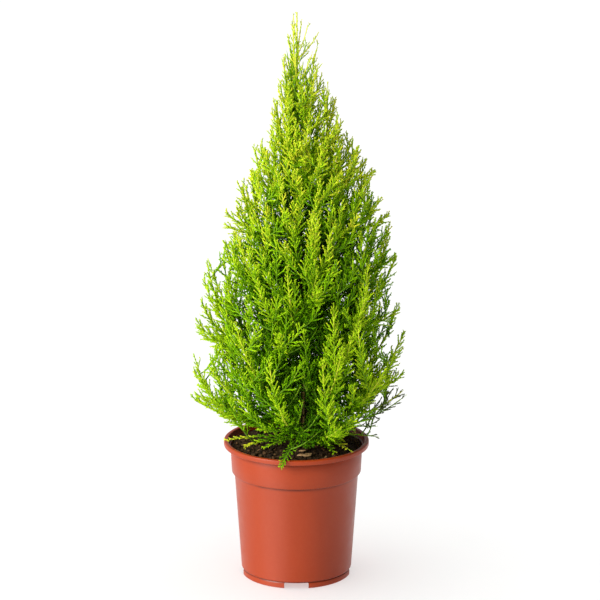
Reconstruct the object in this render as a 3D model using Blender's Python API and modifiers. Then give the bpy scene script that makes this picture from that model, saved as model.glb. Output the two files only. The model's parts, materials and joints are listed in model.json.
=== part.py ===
"""Potted Monterey cypress: nursery pot, soil, trunk, boughs and foliage plumes.

Metres, +Z up.  The pot's axis is the Z axis and the pot's foot stands on z = 0.
A bearing is measured from +X towards +Y, seen from above.

The crown is one leader (the trunk) with upswept plumes set round it on a
spiral.  Each plume has a curved axis from the trunk to its own tip, and its
foliage is one closed loft round the outer part of that axis.  Where two plumes
meet, the space is shared out between them, and so are the trunk and boughs.
"""

import math
import random

import bmesh
import bpy
import numpy as np
from mathutils import Vector, noise

# ---------------------------------------------------------------- dimensions
# Pot
POT_HEIGHT = 0.182
RIM_RADIUS = 0.095          # outside of the rolled lip
RIM_INNER_RADIUS = 0.0893   # inner edge of the lip's top
LIP_HEIGHT = 0.0065
COLLAR_TOP_RADIUS = 0.0864
COLLAR_BOTTOM_RADIUS = 0.0847
COLLAR_BOTTOM_Z = 0.1400    # where the collar steps in to the wall
WALL_TOP_RADIUS = 0.0813
WALL_BOTTOM_RADIUS = 0.0724
HEEL_Z = 0.0078             # top of the foot ring, below the rounded heel
HEEL_RADIUS = 0.0050
FOOT_RADIUS = 0.0702
FOOT_THICKNESS = 0.0034
WALL_THICKNESS = 0.0018
FLOOR_Z = 0.0092            # underside of the pot's floor
FLOOR_THICKNESS = 0.0020
NOTCH_WIDTH = 0.0318        # drainage notches through the foot ring
NOTCH_HEIGHT = 0.0074
DRAIN_HOLE_RADIUS = 0.0045
DRAIN_HOLE_CIRCLE = 0.0500
POT_STEPS = 36

# Soil
GAP = 0.0004                # clearance between neighbouring solids
SOIL_WALL_Z = 0.1742        # soil level beside the pot wall
SOIL_MOUND = 0.0032         # how much higher the soil is at the trunk
SOIL_UNEVEN = 0.0014
SOIL_STEPS = 36

# Trunk
TRUNK_BASE = Vector((0.0085, 0.0, 0.1790))
TRUNK_TOP = Vector((0.0005, 0.0, 0.7485))
TRUNK_BEND = 0.0030         # sideways wander of the leader
TRUNK_RADIUS = 0.0050       # just above the flare
TRUNK_TIP_RADIUS = 0.0007
FLARE_RADIUS = 0.0080
FLARE_HEIGHT = 0.0180

# Crown: height of a plume tip, reach to the right (+X) and to the left (-X)
CROWN_PROFILE = (
    (0.186, 0.108, 0.092),
    (0.205, 0.118, 0.093),
    (0.224, 0.136, 0.106),
    (0.240, 0.144, 0.137),
    (0.285, 0.139, 0.134),
    (0.335, 0.141, 0.132),
    (0.390, 0.130, 0.123),
    (0.430, 0.130, 0.114),
    (0.485, 0.120, 0.092),
    (0.540, 0.104, 0.073),
    (0.578, 0.080, 0.054),
    (0.622, 0.056, 0.033),
    (0.660, 0.042, 0.024),
    (0.690, 0.031, 0.018),
    (0.720, 0.030, 0.011),
    (0.745, 0.010, 0.006),
)
PLUME_COUNT = 40
PLUME_TOP_Z = 0.7400        # tip of the highest side plume
PLUME_LOW_Z = 0.2150        # tip of the lowest upswept plume
GOLDEN_ANGLE = math.radians(137.508)
FIRST_BEARING = math.radians(117.0)
BEARING_WANDER = 0.30       # how far a plume strays from the spiral
HEIGHT_WANDER = 0.009
LOWEST_FORK_Z = 0.1880      # lowest place where a plume leaves the trunk
PLUME_RADIUS_LOW = 0.0420   # half width of a plume at the foot of the crown
PLUME_RADIUS_TOP = 0.0085
SHOULDER_DROP = 0.006       # foliage hangs this far below the line of its tips
BOUGH_COUNT = 11            # plumes whose bough shows between trunk and foliage
BOUGH_RADIUS = 0.0019
BOUGH_TIP_RADIUS = 0.0012

# Low sprays that lie over the soil and rim: bearing, reach, height of the tip
LOW_SPRAYS = (
    ("spray_left", 192.0, 0.0965, 0.1885),
    ("spray_front_left", 214.0, 0.0800, 0.1860),
    ("spray_front", 257.0, 0.1000, 0.1875),
    ("spray_front_right", 322.0, 0.1010, 0.1890),
    ("spray_right", 12.0, 0.1080, 0.1900),
    ("spray_far_right", 2.0, 0.1440, 0.2410),
)
SPRAY_RADIUS = 0.0085

RING_SIDES = 8
# Place along a plume's foliage and the width there, as a share of the fullest
SPINDLE = ((0.00, 0.34), (0.12, 0.70), (0.27, 0.96), (0.43, 1.00),
           (0.59, 0.86), (0.74, 0.62), (0.87, 0.34), (0.96, 0.13))
UNEVENNESS = 0.20
TAIL = 0.0040               # length of the point at a plume's inner end
CLEARANCE = 0.0007          # from a plume's surface to the shared boundary
SEED = 3443

COLORS = {
    "pot": ((0.545, 0.115, 0.045), 0.42),
    "soil": ((0.045, 0.022, 0.012), 0.95),
    "trunk": ((0.170, 0.095, 0.050), 0.85),
    "bough": ((0.200, 0.120, 0.060), 0.80),
}
FOLIAGE_INNER = (0.060, 0.150, 0.010)
FOLIAGE_OUTER = (0.260, 0.400, 0.030)


# ---------------------------------------------------------------- scene setup
for old in list(bpy.data.objects):
    bpy.data.objects.remove(old, do_unlink=True)

parts = bpy.data.collections.new("potted_monterey_cypress")
bpy.context.scene.collection.children.link(parts)
cutters = bpy.data.collections.new("cutters")
bpy.context.scene.collection.children.link(cutters)


def material(name, color, roughness):
    m = bpy.data.materials.new(name)
    m.use_nodes = True
    bsdf = m.node_tree.nodes["Principled BSDF"]
    bsdf.inputs["Base Color"].default_value = (*color, 1.0)
    bsdf.inputs["Roughness"].default_value = roughness
    bsdf.inputs["Metallic"].default_value = 0.0
    m.diffuse_color = (*color, 1.0)
    return m


def add_object(name, data, mat=None, collection=parts):
    obj = bpy.data.objects.new(name, data)
    collection.objects.link(obj)
    if mat is not None:
        data.materials.append(mat)
    return obj


def mesh_from(name, verts, faces, mat=None, collection=parts, smooth=True):
    mesh = bpy.data.meshes.new(name)
    mesh.from_pydata([tuple(v) for v in verts], [], faces)
    mesh.validate()
    if smooth and faces:
        mesh.shade_smooth()
    return add_object(name, mesh, mat, collection)


def turned_solid(name, profile, steps, mat):
    """An open profile that starts and ends on the axis, turned round Z."""
    mesh = bpy.data.meshes.new(name)
    mesh.from_pydata([(r, 0.0, z) for r, z in profile],
                     [(i, i + 1) for i in range(len(profile) - 1)], [])
    obj = add_object(name, mesh, mat)
    screw = obj.modifiers.new("turn", "SCREW")
    screw.axis = "Z"
    screw.angle = math.tau
    screw.steps = steps
    screw.render_steps = steps
    screw.use_merge_vertices = True
    screw.merge_threshold = 0.0001
    screw.use_smooth_shade = True
    return obj


def arc(cx, cz, radius, start, end, count):
    """Points on an arc in the XZ plane, angles in degrees from +X."""
    out = []
    for i in range(count + 1):
        a = math.radians(start + (end - start) * i / count)
        out.append((cx + radius * math.cos(a), cz + radius * math.sin(a)))
    return out


# ---------------------------------------------------------------- pot
def inner_radius(z):
    """Inside radius of the pot's wall at height z."""
    if z >= COLLAR_BOTTOM_Z:
        t = (z - COLLAR_BOTTOM_Z) / (POT_HEIGHT - COLLAR_BOTTOM_Z)
        r = COLLAR_BOTTOM_RADIUS + (COLLAR_TOP_RADIUS - COLLAR_BOTTOM_RADIUS) * t
        return r - WALL_THICKNESS
    t = (z - HEEL_Z) / (COLLAR_BOTTOM_Z - HEEL_Z)
    return WALL_BOTTOM_RADIUS + (WALL_TOP_RADIUS - WALL_BOTTOM_RADIUS) * t - WALL_THICKNESS


def build_pot():
    lip_r = 0.0018
    lip_low = POT_HEIGHT - LIP_HEIGHT
    profile = []
    # lip: top inner edge, rounded outside, skirt, underside
    profile += [(RIM_INNER_RADIUS + 0.0006, POT_HEIGHT)]
    profile += arc(RIM_RADIUS - lip_r, POT_HEIGHT - lip_r, lip_r, 90, 0, 3)
    profile += arc(RIM_RADIUS - 0.0010, lip_low + 0.0010, 0.0010, 0, -90, 2)
    profile += [(RIM_RADIUS - 0.0019, lip_low),
                (RIM_RADIUS - 0.0019, POT_HEIGHT - 0.0022),
                (COLLAR_TOP_RADIUS + 0.0005, POT_HEIGHT - 0.0058)]
    # collar, then the step in to the wall
    profile += [(COLLAR_TOP_RADIUS, POT_HEIGHT - 0.0075),
                (COLLAR_BOTTOM_RADIUS, COLLAR_BOTTOM_Z),
                (WALL_TOP_RADIUS, COLLAR_BOTTOM_Z - 0.0022)]
    # wall, rounded heel, foot ring
    profile += [(WALL_BOTTOM_RADIUS, HEEL_Z + HEEL_RADIUS)]
    profile += [(WALL_BOTTOM_RADIUS - 0.0006, HEEL_Z + 0.0022),
                (FOOT_RADIUS + 0.0004, HEEL_Z)]
    profile += [(FOOT_RADIUS, HEEL_Z - 0.0006), (FOOT_RADIUS, 0.0),
                (FOOT_RADIUS - FOOT_THICKNESS, 0.0),
                (FOOT_RADIUS - FOOT_THICKNESS, FLOOR_Z)]
    # underside of the floor to the axis, and back out over its top
    underside = (0.0, FLOOR_Z)
    inside_top = FLOOR_Z + FLOOR_THICKNESS
    profile += [underside, (0.0, inside_top)]
    profile += [(inner_radius(inside_top) - 0.0040, inside_top),
                (inner_radius(inside_top + 0.004), inside_top + 0.0040)]
    # inside of the wall, up to the flared mouth
    profile += [(inner_radius(COLLAR_BOTTOM_Z - 0.0040), COLLAR_BOTTOM_Z - 0.0040),
                (inner_radius(COLLAR_BOTTOM_Z), COLLAR_BOTTOM_Z),
                (inner_radius(POT_HEIGHT - 0.0044), POT_HEIGHT - 0.0044),
                (RIM_INNER_RADIUS, POT_HEIGHT - 0.0005)]
    # the two axis points are the ends of an open profile
    start = profile.index((0.0, inside_top))
    ordered = profile[start:] + profile[:start]
    pot = turned_solid("pot", ordered, POT_STEPS,
                       material("pot_plastic", *COLORS["pot"]))

    def cut(cutter, name):
        cutter.hide_render = True
        cutter.display_type = "WIRE"
        mod = pot.modifiers.new(name, "BOOLEAN")
        mod.operation = "DIFFERENCE"
        mod.solver = "EXACT"
        mod.object = cutter

    for i in range(2):
        mesh = bpy.data.meshes.new("notch_bar")
        bm = bmesh.new()
        bmesh.ops.create_cube(bm, size=1.0)
        for v in bm.verts:
            v.co.x *= 4.0 * RIM_RADIUS
            v.co.y *= NOTCH_WIDTH
            v.co.z = v.co.z * 2.0 * NOTCH_HEIGHT
        bm.to_mesh(mesh)
        bm.free()
        bar = add_object(f"notch_bar_{i + 1}", mesh, None, cutters)
        bar.rotation_euler[2] = i * math.pi / 2
        cut(bar, f"notch_{i + 1}")
    for i in range(4):
        mesh = bpy.data.meshes.new("drain_drill")
        bm = bmesh.new()
        bmesh.ops.create_cone(bm, cap_ends=True, segments=12,
                              radius1=DRAIN_HOLE_RADIUS, radius2=DRAIN_HOLE_RADIUS,
                              depth=FLOOR_THICKNESS * 4)
        bm.to_mesh(mesh)
        bm.free()
        a = math.radians(45 + 90 * i)
        drill = add_object(f"drain_drill_{i + 1}", mesh, None, cutters)
        drill.location = (DRAIN_HOLE_CIRCLE * math.cos(a),
                          DRAIN_HOLE_CIRCLE * math.sin(a),
                          FLOOR_Z + FLOOR_THICKNESS / 2)
        cut(drill, f"drain_{i + 1}")
    return pot


# ---------------------------------------------------------------- soil
def soil_height(x, y):
    """Height of the soil's surface, level under the trunk."""
    r = math.hypot(x, y)
    edge = inner_radius(SOIL_WALL_Z)
    mound = SOIL_MOUND * math.cos(min(r / edge, 1.0) * math.pi / 2)
    rough = SOIL_UNEVEN * noise.noise(Vector((x * 55.0, y * 55.0, 3.7)))
    trunk_r = math.hypot(x - TRUNK_BASE.x, y - TRUNK_BASE.y)
    blend = min(1.0, max(0.0, (trunk_r - 0.012) / 0.02))
    flat = TRUNK_BASE.z - GAP
    free = SOIL_WALL_Z + mound + rough * min(1.0, (edge - r) / 0.01)
    return flat + (free - flat) * blend


def build_soil():
    low = FLOOR_Z + FLOOR_THICKNESS + GAP
    top_r = inner_radius(SOIL_WALL_Z) - GAP * 1.6
    profile = [(0.0, SOIL_WALL_Z), (0.020, SOIL_WALL_Z), (0.038, SOIL_WALL_Z),
               (0.055, SOIL_WALL_Z), (0.071, SOIL_WALL_Z), (top_r, SOIL_WALL_Z),
               (inner_radius(COLLAR_BOTTOM_Z) - GAP * 1.6, COLLAR_BOTTOM_Z + 0.0005),
               (inner_radius(COLLAR_BOTTOM_Z - 0.004) - GAP * 1.6, COLLAR_BOTTOM_Z - 0.0037),
               (inner_radius(low + 0.006) - GAP * 1.6, low + 0.0060),
               (inner_radius(low + 0.002) - 0.0062, low),
               (0.0, low)]
    soil = turned_solid("soil", profile, SOIL_STEPS,
                        material("potting_soil", *COLORS["soil"]))
    # the turned body is made real, so that its top can be roughened
    graph = bpy.context.evaluated_depsgraph_get()
    mesh = bpy.data.meshes.new_from_object(soil.evaluated_get(graph))
    bm = bmesh.new()
    bm.from_mesh(mesh)
    bmesh.ops.remove_doubles(bm, verts=bm.verts, dist=0.00005)
    for v in bm.verts:
        if v.co.z > SOIL_WALL_Z - 0.0001:
            v.co.z = soil_height(v.co.x, v.co.y)
    bm.to_mesh(mesh)
    bm.free()
    soil.modifiers.clear()
    old = soil.data
    soil.data = mesh
    bpy.data.meshes.remove(old)
    return soil


# ---------------------------------------------------------------- trunk
def trunk_point(t):
    """Centre of the trunk, t = 0 at the soil and 1 at the tip of the leader."""
    p = TRUNK_BASE.lerp(TRUNK_TOP, t)
    p.x += TRUNK_BEND * math.sin(t * math.pi * 2.1) * (1.0 - 0.5 * t)
    p.y += TRUNK_BEND * math.sin(t * math.pi * 2.9 + 0.6) * t * (1.3 - t)
    return p


def trunk_radius(t):
    height = t * (TRUNK_TOP.z - TRUNK_BASE.z)
    body = TRUNK_TIP_RADIUS + (TRUNK_RADIUS - TRUNK_TIP_RADIUS) * (1.0 - t) ** 1.15
    flare = (FLARE_RADIUS - TRUNK_RADIUS) * math.exp(-3.2 * height / FLARE_HEIGHT)
    return body + flare


def at_height(z):
    """Trunk parameter at height z."""
    return (z - TRUNK_BASE.z) / (TRUNK_TOP.z - TRUNK_BASE.z)


def limb(name, points, radii, mat, resolution=2):
    """A tapering tube through the points."""
    curve = bpy.data.curves.new(name, "CURVE")
    curve.dimensions = "3D"
    curve.bevel_depth = 1.0
    curve.bevel_resolution = resolution
    curve.use_fill_caps = True
    spline = curve.splines.new("POLY")
    spline.points.add(len(points) - 1)
    for point, position, radius in zip(spline.points, points, radii):
        point.co = (*position, 1.0)
        point.radius = radius
    spline.use_smooth = True
    return add_object(name, curve, mat)


def build_trunk():
    stations = [0.0, 0.008, 0.018, 0.032] + [0.032 + (1 - 0.032) * i / 11 for i in range(1, 12)]
    points = [trunk_point(t) for t in stations]
    # the foot is cut level
    points[1].x, points[1].y = points[0].x, points[0].y
    return limb("trunk", points, [trunk_radius(t) for t in stations],
                material("trunk_bark", *COLORS["trunk"]))


# ---------------------------------------------------------------- crown plan
def reach(z, bearing):
    """Distance of the crown's surface from the pot's axis."""
    rows = CROWN_PROFILE
    z = min(max(z, rows[0][0]), rows[-1][0])
    for low, high in zip(rows, rows[1:]):
        if z <= high[0]:
            t = (z - low[0]) / (high[0] - low[0])
            right = low[1] + (high[1] - low[1]) * t
            left = low[2] + (high[2] - low[2]) * t
            break
    side = 0.5 + 0.5 * math.cos(bearing)
    side = side * side * (3.0 - 2.0 * side)
    return left + (right - left) * side


class Plume:
    """One upswept branch: a curved axis with a sleeve of foliage."""

    def __init__(self, name, fork, tip, rise, radius, start, seed, bough=False):
        self.name, self.radius, self.start, self.bough = name, radius, start, bough
        self.rng = random.Random(seed)
        out = tip - fork
        flat = Vector((out.x, out.y, 0.0))
        control = fork + flat * (0.62 - 0.30 * rise) + Vector((0, 0, out.z * (0.62 - 0.30 * rise) * (0.35 + 0.5 * rise)))
        self.curve = (fork, control, tip)

    def at(self, s):
        a, b, c = self.curve
        return a * (1 - s) ** 2 + b * (2 * s * (1 - s)) + c * s ** 2

    def tangent(self, s):
        a, b, c = self.curve
        return ((b - a) * (2 * (1 - s)) + (c - b) * (2 * s)).normalized()

    def before(self, s, distance):
        """The place on the axis that lies this far before s."""
        here, low, high = self.at(s), 0.0, s
        for _ in range(24):
            mid = (low + high) / 2
            if (self.at(mid) - here).length > distance:
                low = mid
            else:
                high = mid
        return low

    def width(self, s):
        """Half width at s, before the neighbours take their share."""
        if s <= self.start:
            return min(self.radius * 0.34, 0.0100)
        u = (s - self.start) / (1.0 - self.start)
        for (u0, w0), (u1, w1) in zip(SPINDLE, SPINDLE[1:]):
            if u <= u1:
                return self.radius * (w0 + (w1 - w0) * (u - u0) / (u1 - u0))
        return self.radius * SPINDLE[-1][1]


def clear_of_trunk(plume):
    """Starts the foliage where its inner point clears the trunk."""
    while plume.start < 0.9:
        p = plume.at(plume.before(plume.start, TAIL))
        t = at_height(p.z)
        if (p - trunk_point(t)).length > trunk_radius(t) + 0.0028:
            break
        plume.start += 0.01


def plan_plumes():
    plumes = []
    rng = random.Random(SEED)
    for i in range(PLUME_COUNT):
        share = i / (PLUME_COUNT - 1)
        z = PLUME_TOP_Z + (PLUME_LOW_Z - PLUME_TOP_Z) * share
        z += rng.uniform(-HEIGHT_WANDER, HEIGHT_WANDER) * (0 < i < PLUME_COUNT - 1)
        bearing = FIRST_BEARING + GOLDEN_ANGLE * i + rng.uniform(-BEARING_WANDER, BEARING_WANDER)
        r = reach(z, bearing)
        tip = Vector((r * math.cos(bearing), r * math.sin(bearing), z))
        # lower plumes leave the trunk flatter and reach further
        rise = 0.5 + 0.5 * math.cos(math.pi * min(1.0, share * 1.05))
        climb = 0.105 + 0.060 * math.sin(math.pi * (1.0 - share) ** 0.8)
        fork_z = max(LOWEST_FORK_Z + 0.0015 * (PLUME_COUNT - i), z - climb)
        if fork_z > z - 0.02:
            fork_z = z - 0.02
        fork = trunk_point(at_height(fork_z))
        radius = PLUME_RADIUS_TOP + (PLUME_RADIUS_LOW - PLUME_RADIUS_TOP) * min(1.0, r / 0.125) ** 1.1
        run = (tip - fork).length
        bough = i >= PLUME_COUNT - BOUGH_COUNT * 2 and (PLUME_COUNT - 1 - i) % 2 == 0
        start = (0.036 if bough else 0.014 + 0.006 * share) / run + 0.04
        plume = Plume(f"foliage_{i + 1:02d}", fork, tip, rise, radius, start,
                      SEED + 31 * i, bough)
        clear_of_trunk(plume)
        plumes.append(plume)
    for k, (name, bearing, r, z) in enumerate(LOW_SPRAYS):
        a = math.radians(bearing)
        tip = Vector((r * math.cos(a), r * math.sin(a), z))
        fork = trunk_point(at_height(0.1835 + 0.0012 * k))
        plumes.append(Plume(f"foliage_{name}", fork, tip, 0.35, SPRAY_RADIUS, 0.34,
                            SEED + 997 * (k + 1)))
    return plumes


# ---------------------------------------------------------------- foliage
class Space:
    """Shares the crown's space between the plumes and the trunk."""

    def __init__(self, plumes):
        centres, widths, owners = [], [], []
        for k, plume in enumerate(plumes):
            for j in range(25):
                s = j / 24
                centres.append(plume.at(s))
                widths.append(max(plume.width(s), 0.0022))
                owners.append(k)
        for j in range(120):
            t = j / 119
            centres.append(trunk_point(t))
            widths.append(trunk_radius(t) * 1.5 + 0.0030)
            owners.append(-1)
        self.centres = np.array(centres)
        self.widths = np.array(widths)
        self.owners = np.array(owners)
        t = np.linspace(0.0, 1.0, 200)
        self.stem = np.array([trunk_point(a) for a in t])
        self.stem_r = np.array([trunk_radius(a) for a in t])

    def free(self, points, owner, margin):
        """True where a point lies in the owner's own share."""
        points = np.asarray(points)
        mine = self.owners == owner
        middle = (points.max(axis=0) + points.min(axis=0)) / 2
        span = np.linalg.norm(points - middle, axis=1).max() + 2.5 * PLUME_RADIUS_LOW
        near = ~mine & (np.linalg.norm(self.centres - middle, axis=1) < span)
        own = (np.linalg.norm(points[:, None, :] - self.centres[None, mine], axis=2)
               / self.widths[mine]).min(axis=1)
        rest = ((np.linalg.norm(points[:, None, :] - self.centres[None, near], axis=2)
                 - margin * 2.0) / self.widths[near]).min(axis=1)
        ok = own < rest
        stem = (np.linalg.norm(points[:, None, :] - self.stem[None], axis=2)
                - self.stem_r).min(axis=1)
        ok &= stem > 0.0012
        r = np.hypot(points[:, 0], points[:, 1])
        floor = np.where(r < RIM_RADIUS + 0.003, POT_HEIGHT + 0.0012, 0.1700)
        soil = SOIL_WALL_Z + SOIL_MOUND + SOIL_UNEVEN + 0.0012
        floor = np.where(r < RIM_INNER_RADIUS - 0.008, soil, floor)
        ok &= points[:, 2] > floor
        bearing = np.arctan2(points[:, 1], points[:, 0])
        rows = np.array(CROWN_PROFILE)
        side = 0.5 + 0.5 * np.cos(bearing)
        side = side * side * (3.0 - 2.0 * side)
        skin = 0.0
        for drop in (0.0, SHOULDER_DROP):
            right = np.interp(points[:, 2] + drop, rows[:, 0], rows[:, 1])
            left = np.interp(points[:, 2] + drop, rows[:, 0], rows[:, 2])
            skin = np.maximum(skin, left + (right - left) * side)
        over = np.clip((points[:, 2] - 0.735) * 0.6, 0.0, None)
        ok &= r < skin + 0.0015 - over
        return ok


def sections(plume):
    """Centre and two directions across the axis for each ring."""
    rings = []
    for u, _ in SPINDLE:
        s = plume.start + (1.0 - plume.start) * u
        tangent = plume.tangent(s)
        across = tangent.cross(Vector((0, 0, 1)))
        if across.length < 0.05:
            across = tangent.cross(Vector((0, 1, 0)))
        across.normalize()
        rings.append((s, plume.at(s), across, across.cross(tangent).normalized()))
    return rings


def loft(plume, owner, space):
    """The foliage solid: rings of uneven radius, closed to a point at each end."""
    rings = sections(plume)
    offset = plume.rng.uniform(0, 50)
    spin = plume.rng.uniform(0, math.tau)
    count = len(rings)
    directions = np.zeros((count, RING_SIDES, 3))
    radii = np.zeros((count, RING_SIDES))
    centres = np.array([r[1] for r in rings])
    for k, (s, centre, across, up) in enumerate(rings):
        for m in range(RING_SIDES):
            a = spin + math.tau * (m + 0.5 * (k % 2)) / RING_SIDES
            d = across * math.cos(a) + up * math.sin(a)
            directions[k, m] = d
            lump = noise.noise(Vector((math.cos(a) * 1.3 + offset, math.sin(a) * 1.3, s * 5.0)))
            wanted = plume.width(s) * (1.0 + UNEVENNESS * 1.6 * lump)
            steps = np.linspace(0.0, wanted, 26)[1:]
            ok = space.free(np.array(centre) + np.outer(steps, d), owner, CLEARANCE)
            first = np.argmin(ok) if not ok.all() else len(steps)
            radii[k, m] = max(0.0006, steps[first - 1] if first else 0.0)

    head = np.array(plume.at(1.0))
    tail = np.array(plume.at(plume.before(plume.start, TAIL)))

    # pull in any corner whose facets leave the plume's own share
    steps = np.array([0.0, 0.25, 0.5, 0.75, 1.0])
    for _ in range(60):
        corner = centres[:, None, :] + directions * radii[:, :, None]
        moved = False
        shrink = np.zeros_like(radii, dtype=bool)
        samples, who = [], []
        for k in range(count - 1):
            for m in range(RING_SIDES):
                n = (m + 1) % RING_SIDES
                quad = (corner[k, m], corner[k, n], corner[k + 1, n], corner[k + 1, m])
                for a in steps:
                    for b in steps:
                        samples.append(quad[0] * (1 - a) * (1 - b) + quad[1] * a * (1 - b)
                                       + quad[2] * a * b + quad[3] * (1 - a) * b)
                        who.append((k, m, k, n, k + 1, n, k + 1, m))
        for m in range(RING_SIDES):
            n = (m + 1) % RING_SIDES
            for end, k in ((tail, 0), (head, count - 1)):
                for a in (0.15, 0.4, 0.7):
                    for b in (0.0, 0.5):
                        edge = corner[k, m] * (1 - b) + corner[k, n] * b
                        samples.append(edge * (1 - a) + end * a)
                        who.append((k, m, k, n, k, m, k, n))
        ok = space.free(np.array(samples), owner, CLEARANCE * 0.6)
        for good, ids in zip(ok, who):
            if not good:
                for j in range(0, 8, 2):
                    shrink[ids[j], ids[j + 1]] = True
        shrink &= radii > 0.0006
        if shrink.any():
            radii[shrink] = np.maximum(0.0006, radii[shrink] * 0.93)
            moved = True
        if not moved:
            break

    corner = centres[:, None, :] + directions * radii[:, :, None]
    verts = [tail] + [corner[k, m] for k in range(count) for m in range(RING_SIDES)] + [head]
    last = len(verts) - 1

    def at(k, m):
        return 1 + k * RING_SIDES + m % RING_SIDES

    faces = []
    for m in range(RING_SIDES):
        faces.append((0, at(0, m), at(0, m + 1)))
        faces.append((last, at(count - 1, m + 1), at(count - 1, m)))
        for k in range(count - 1):
            faces.append((at(k, m), at(k + 1, m), at(k + 1, m + 1)))
            faces.append((at(k, m), at(k + 1, m + 1), at(k, m + 1)))
    return verts, faces


def foliage_color(share):
    return tuple(a + (b - a) * share for a, b in zip(FOLIAGE_INNER, FOLIAGE_OUTER))


def build_crown():
    plumes = plan_plumes()
    space = Space(plumes)
    bough_bark = material("bough_bark", *COLORS["bough"])
    number = 0
    for k, plume in enumerate(plumes):
        verts, faces = loft(plume, k, space)
        share = 0.25 + 0.75 * min(1.0, max(0.0, (plume.at(1.0).z - 0.18) / 0.5))
        obj = mesh_from(plume.name, verts, faces,
                        material(plume.name + "_green", foliage_color(share), 0.6))
        bm = bmesh.new()
        bm.from_mesh(obj.data)
        bmesh.ops.recalc_face_normals(bm, faces=bm.faces)
        bm.to_mesh(obj.data)
        bm.free()
        obj.data.shade_smooth()
        if plume.bough:
            number += 1
            build_bough(f"bough_{number:02d}", plume, bough_bark)
    return plumes


def build_bough(name, plume, mat):
    """From the trunk's surface to where the foliage starts."""
    s0 = 0.0
    while s0 < plume.start:
        p = plume.at(s0)
        t = at_height(p.z)
        off = min((p - trunk_point(t + d)).length - trunk_radius(t + d)
                  for d in (-0.02, -0.01, 0.0, 0.01, 0.02) if 0.0 <= t + d <= 1.0)
        if off > BOUGH_RADIUS + 0.0004:
            break
        s0 += 0.002
    s1 = plume.before(plume.start, TAIL + 0.0010)
    points, radii = [], []
    for j in range(4):
        u = j / 3
        points.append(plume.at(s0 + (s1 - s0) * u))
        radii.append(BOUGH_RADIUS + (BOUGH_TIP_RADIUS - BOUGH_RADIUS) * u)
    limb(name, points, radii, mat, 1)


build_pot()
build_soil()
build_trunk()
build_crown()
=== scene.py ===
import json
import math
import random

import bmesh
import bpy
import numpy as np
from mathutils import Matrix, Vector, noise

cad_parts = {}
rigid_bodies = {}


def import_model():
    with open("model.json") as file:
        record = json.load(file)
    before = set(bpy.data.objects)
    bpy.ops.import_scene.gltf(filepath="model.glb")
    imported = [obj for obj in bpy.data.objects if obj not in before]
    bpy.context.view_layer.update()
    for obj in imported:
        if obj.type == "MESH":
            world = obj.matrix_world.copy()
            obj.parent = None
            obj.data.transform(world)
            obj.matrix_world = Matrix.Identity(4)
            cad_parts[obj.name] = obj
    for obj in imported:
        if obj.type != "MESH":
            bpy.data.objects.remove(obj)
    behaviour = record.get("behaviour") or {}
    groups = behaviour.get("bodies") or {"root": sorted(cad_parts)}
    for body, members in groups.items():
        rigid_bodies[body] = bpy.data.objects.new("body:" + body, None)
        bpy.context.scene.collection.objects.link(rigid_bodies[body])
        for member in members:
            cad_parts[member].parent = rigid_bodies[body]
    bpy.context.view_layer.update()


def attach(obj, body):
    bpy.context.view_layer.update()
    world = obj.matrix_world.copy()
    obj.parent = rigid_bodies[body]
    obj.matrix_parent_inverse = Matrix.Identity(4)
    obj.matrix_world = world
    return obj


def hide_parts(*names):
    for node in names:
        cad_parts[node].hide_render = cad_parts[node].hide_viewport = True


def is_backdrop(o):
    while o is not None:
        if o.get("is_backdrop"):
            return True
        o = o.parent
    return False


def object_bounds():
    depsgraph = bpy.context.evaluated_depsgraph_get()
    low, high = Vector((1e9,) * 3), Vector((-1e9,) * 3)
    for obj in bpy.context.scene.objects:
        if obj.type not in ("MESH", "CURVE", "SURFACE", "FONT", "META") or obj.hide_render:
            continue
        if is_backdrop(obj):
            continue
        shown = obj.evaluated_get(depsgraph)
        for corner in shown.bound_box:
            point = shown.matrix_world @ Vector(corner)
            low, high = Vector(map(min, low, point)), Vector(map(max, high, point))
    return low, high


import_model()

# A Monterey cypress in its nursery pot: about 0.75 m from the ground to the leading shoot.
# Metres, Z up, the pot stands on z = 0 and its axis is the Z axis.

SEED = 3443
GOLDEN = math.radians(137.508)
rng = np.random.default_rng(SEED)

# ------------------------------------------------------------------ sizes shared with the solids
POT_HEIGHT = 0.182
RIM_RADIUS = 0.0950
RIM_INNER_RADIUS = 0.0893
LIP_HEIGHT = 0.0065
COLLAR_TOP_RADIUS = 0.0864
COLLAR_BOTTOM_RADIUS = 0.0847
COLLAR_BOTTOM_Z = 0.1400
WALL_TOP_RADIUS = 0.0813
WALL_BOTTOM_RADIUS = 0.0724
HEEL_Z = 0.0078
HEEL_RADIUS = 0.0050
FOOT_RADIUS = 0.0715
FOOT_THICKNESS = 0.0034
WALL_THICKNESS = 0.0018
FLOOR_Z = 0.0092
FLOOR_THICKNESS = 0.0020
NOTCH_WIDTH = 0.0318
NOTCH_HEIGHT = 0.0074
DRAIN_RADIUS = 0.0045
DRAIN_CIRCLE = 0.0500
SOIL_WALL_Z = 0.1742
SOIL_MOUND = 0.0032
SOIL_UNEVEN = 0.0014

TRUNK_BASE = Vector((0.0085, 0.0, 0.1790))
TRUNK_TOP = Vector((0.0005, 0.0, 0.7485))
TRUNK_BEND = 0.0030
TRUNK_RADIUS = 0.0050
TRUNK_TIP_RADIUS = 0.0007
FLARE_RADIUS = 0.0080
FLARE_HEIGHT = 0.0180

# height, reach on the right (+X), reach on the left (-X)
CROWN_PROFILE = (
    (0.186, 0.108, 0.092), (0.205, 0.118, 0.093), (0.224, 0.136, 0.106),
    (0.240, 0.144, 0.137), (0.285, 0.139, 0.134), (0.335, 0.141, 0.132),
    (0.390, 0.130, 0.123), (0.430, 0.130, 0.114), (0.485, 0.120, 0.092),
    (0.540, 0.104, 0.073), (0.578, 0.080, 0.054), (0.622, 0.056, 0.033),
    (0.660, 0.042, 0.024), (0.690, 0.031, 0.018), (0.720, 0.030, 0.011),
    (0.745, 0.010, 0.006))

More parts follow.
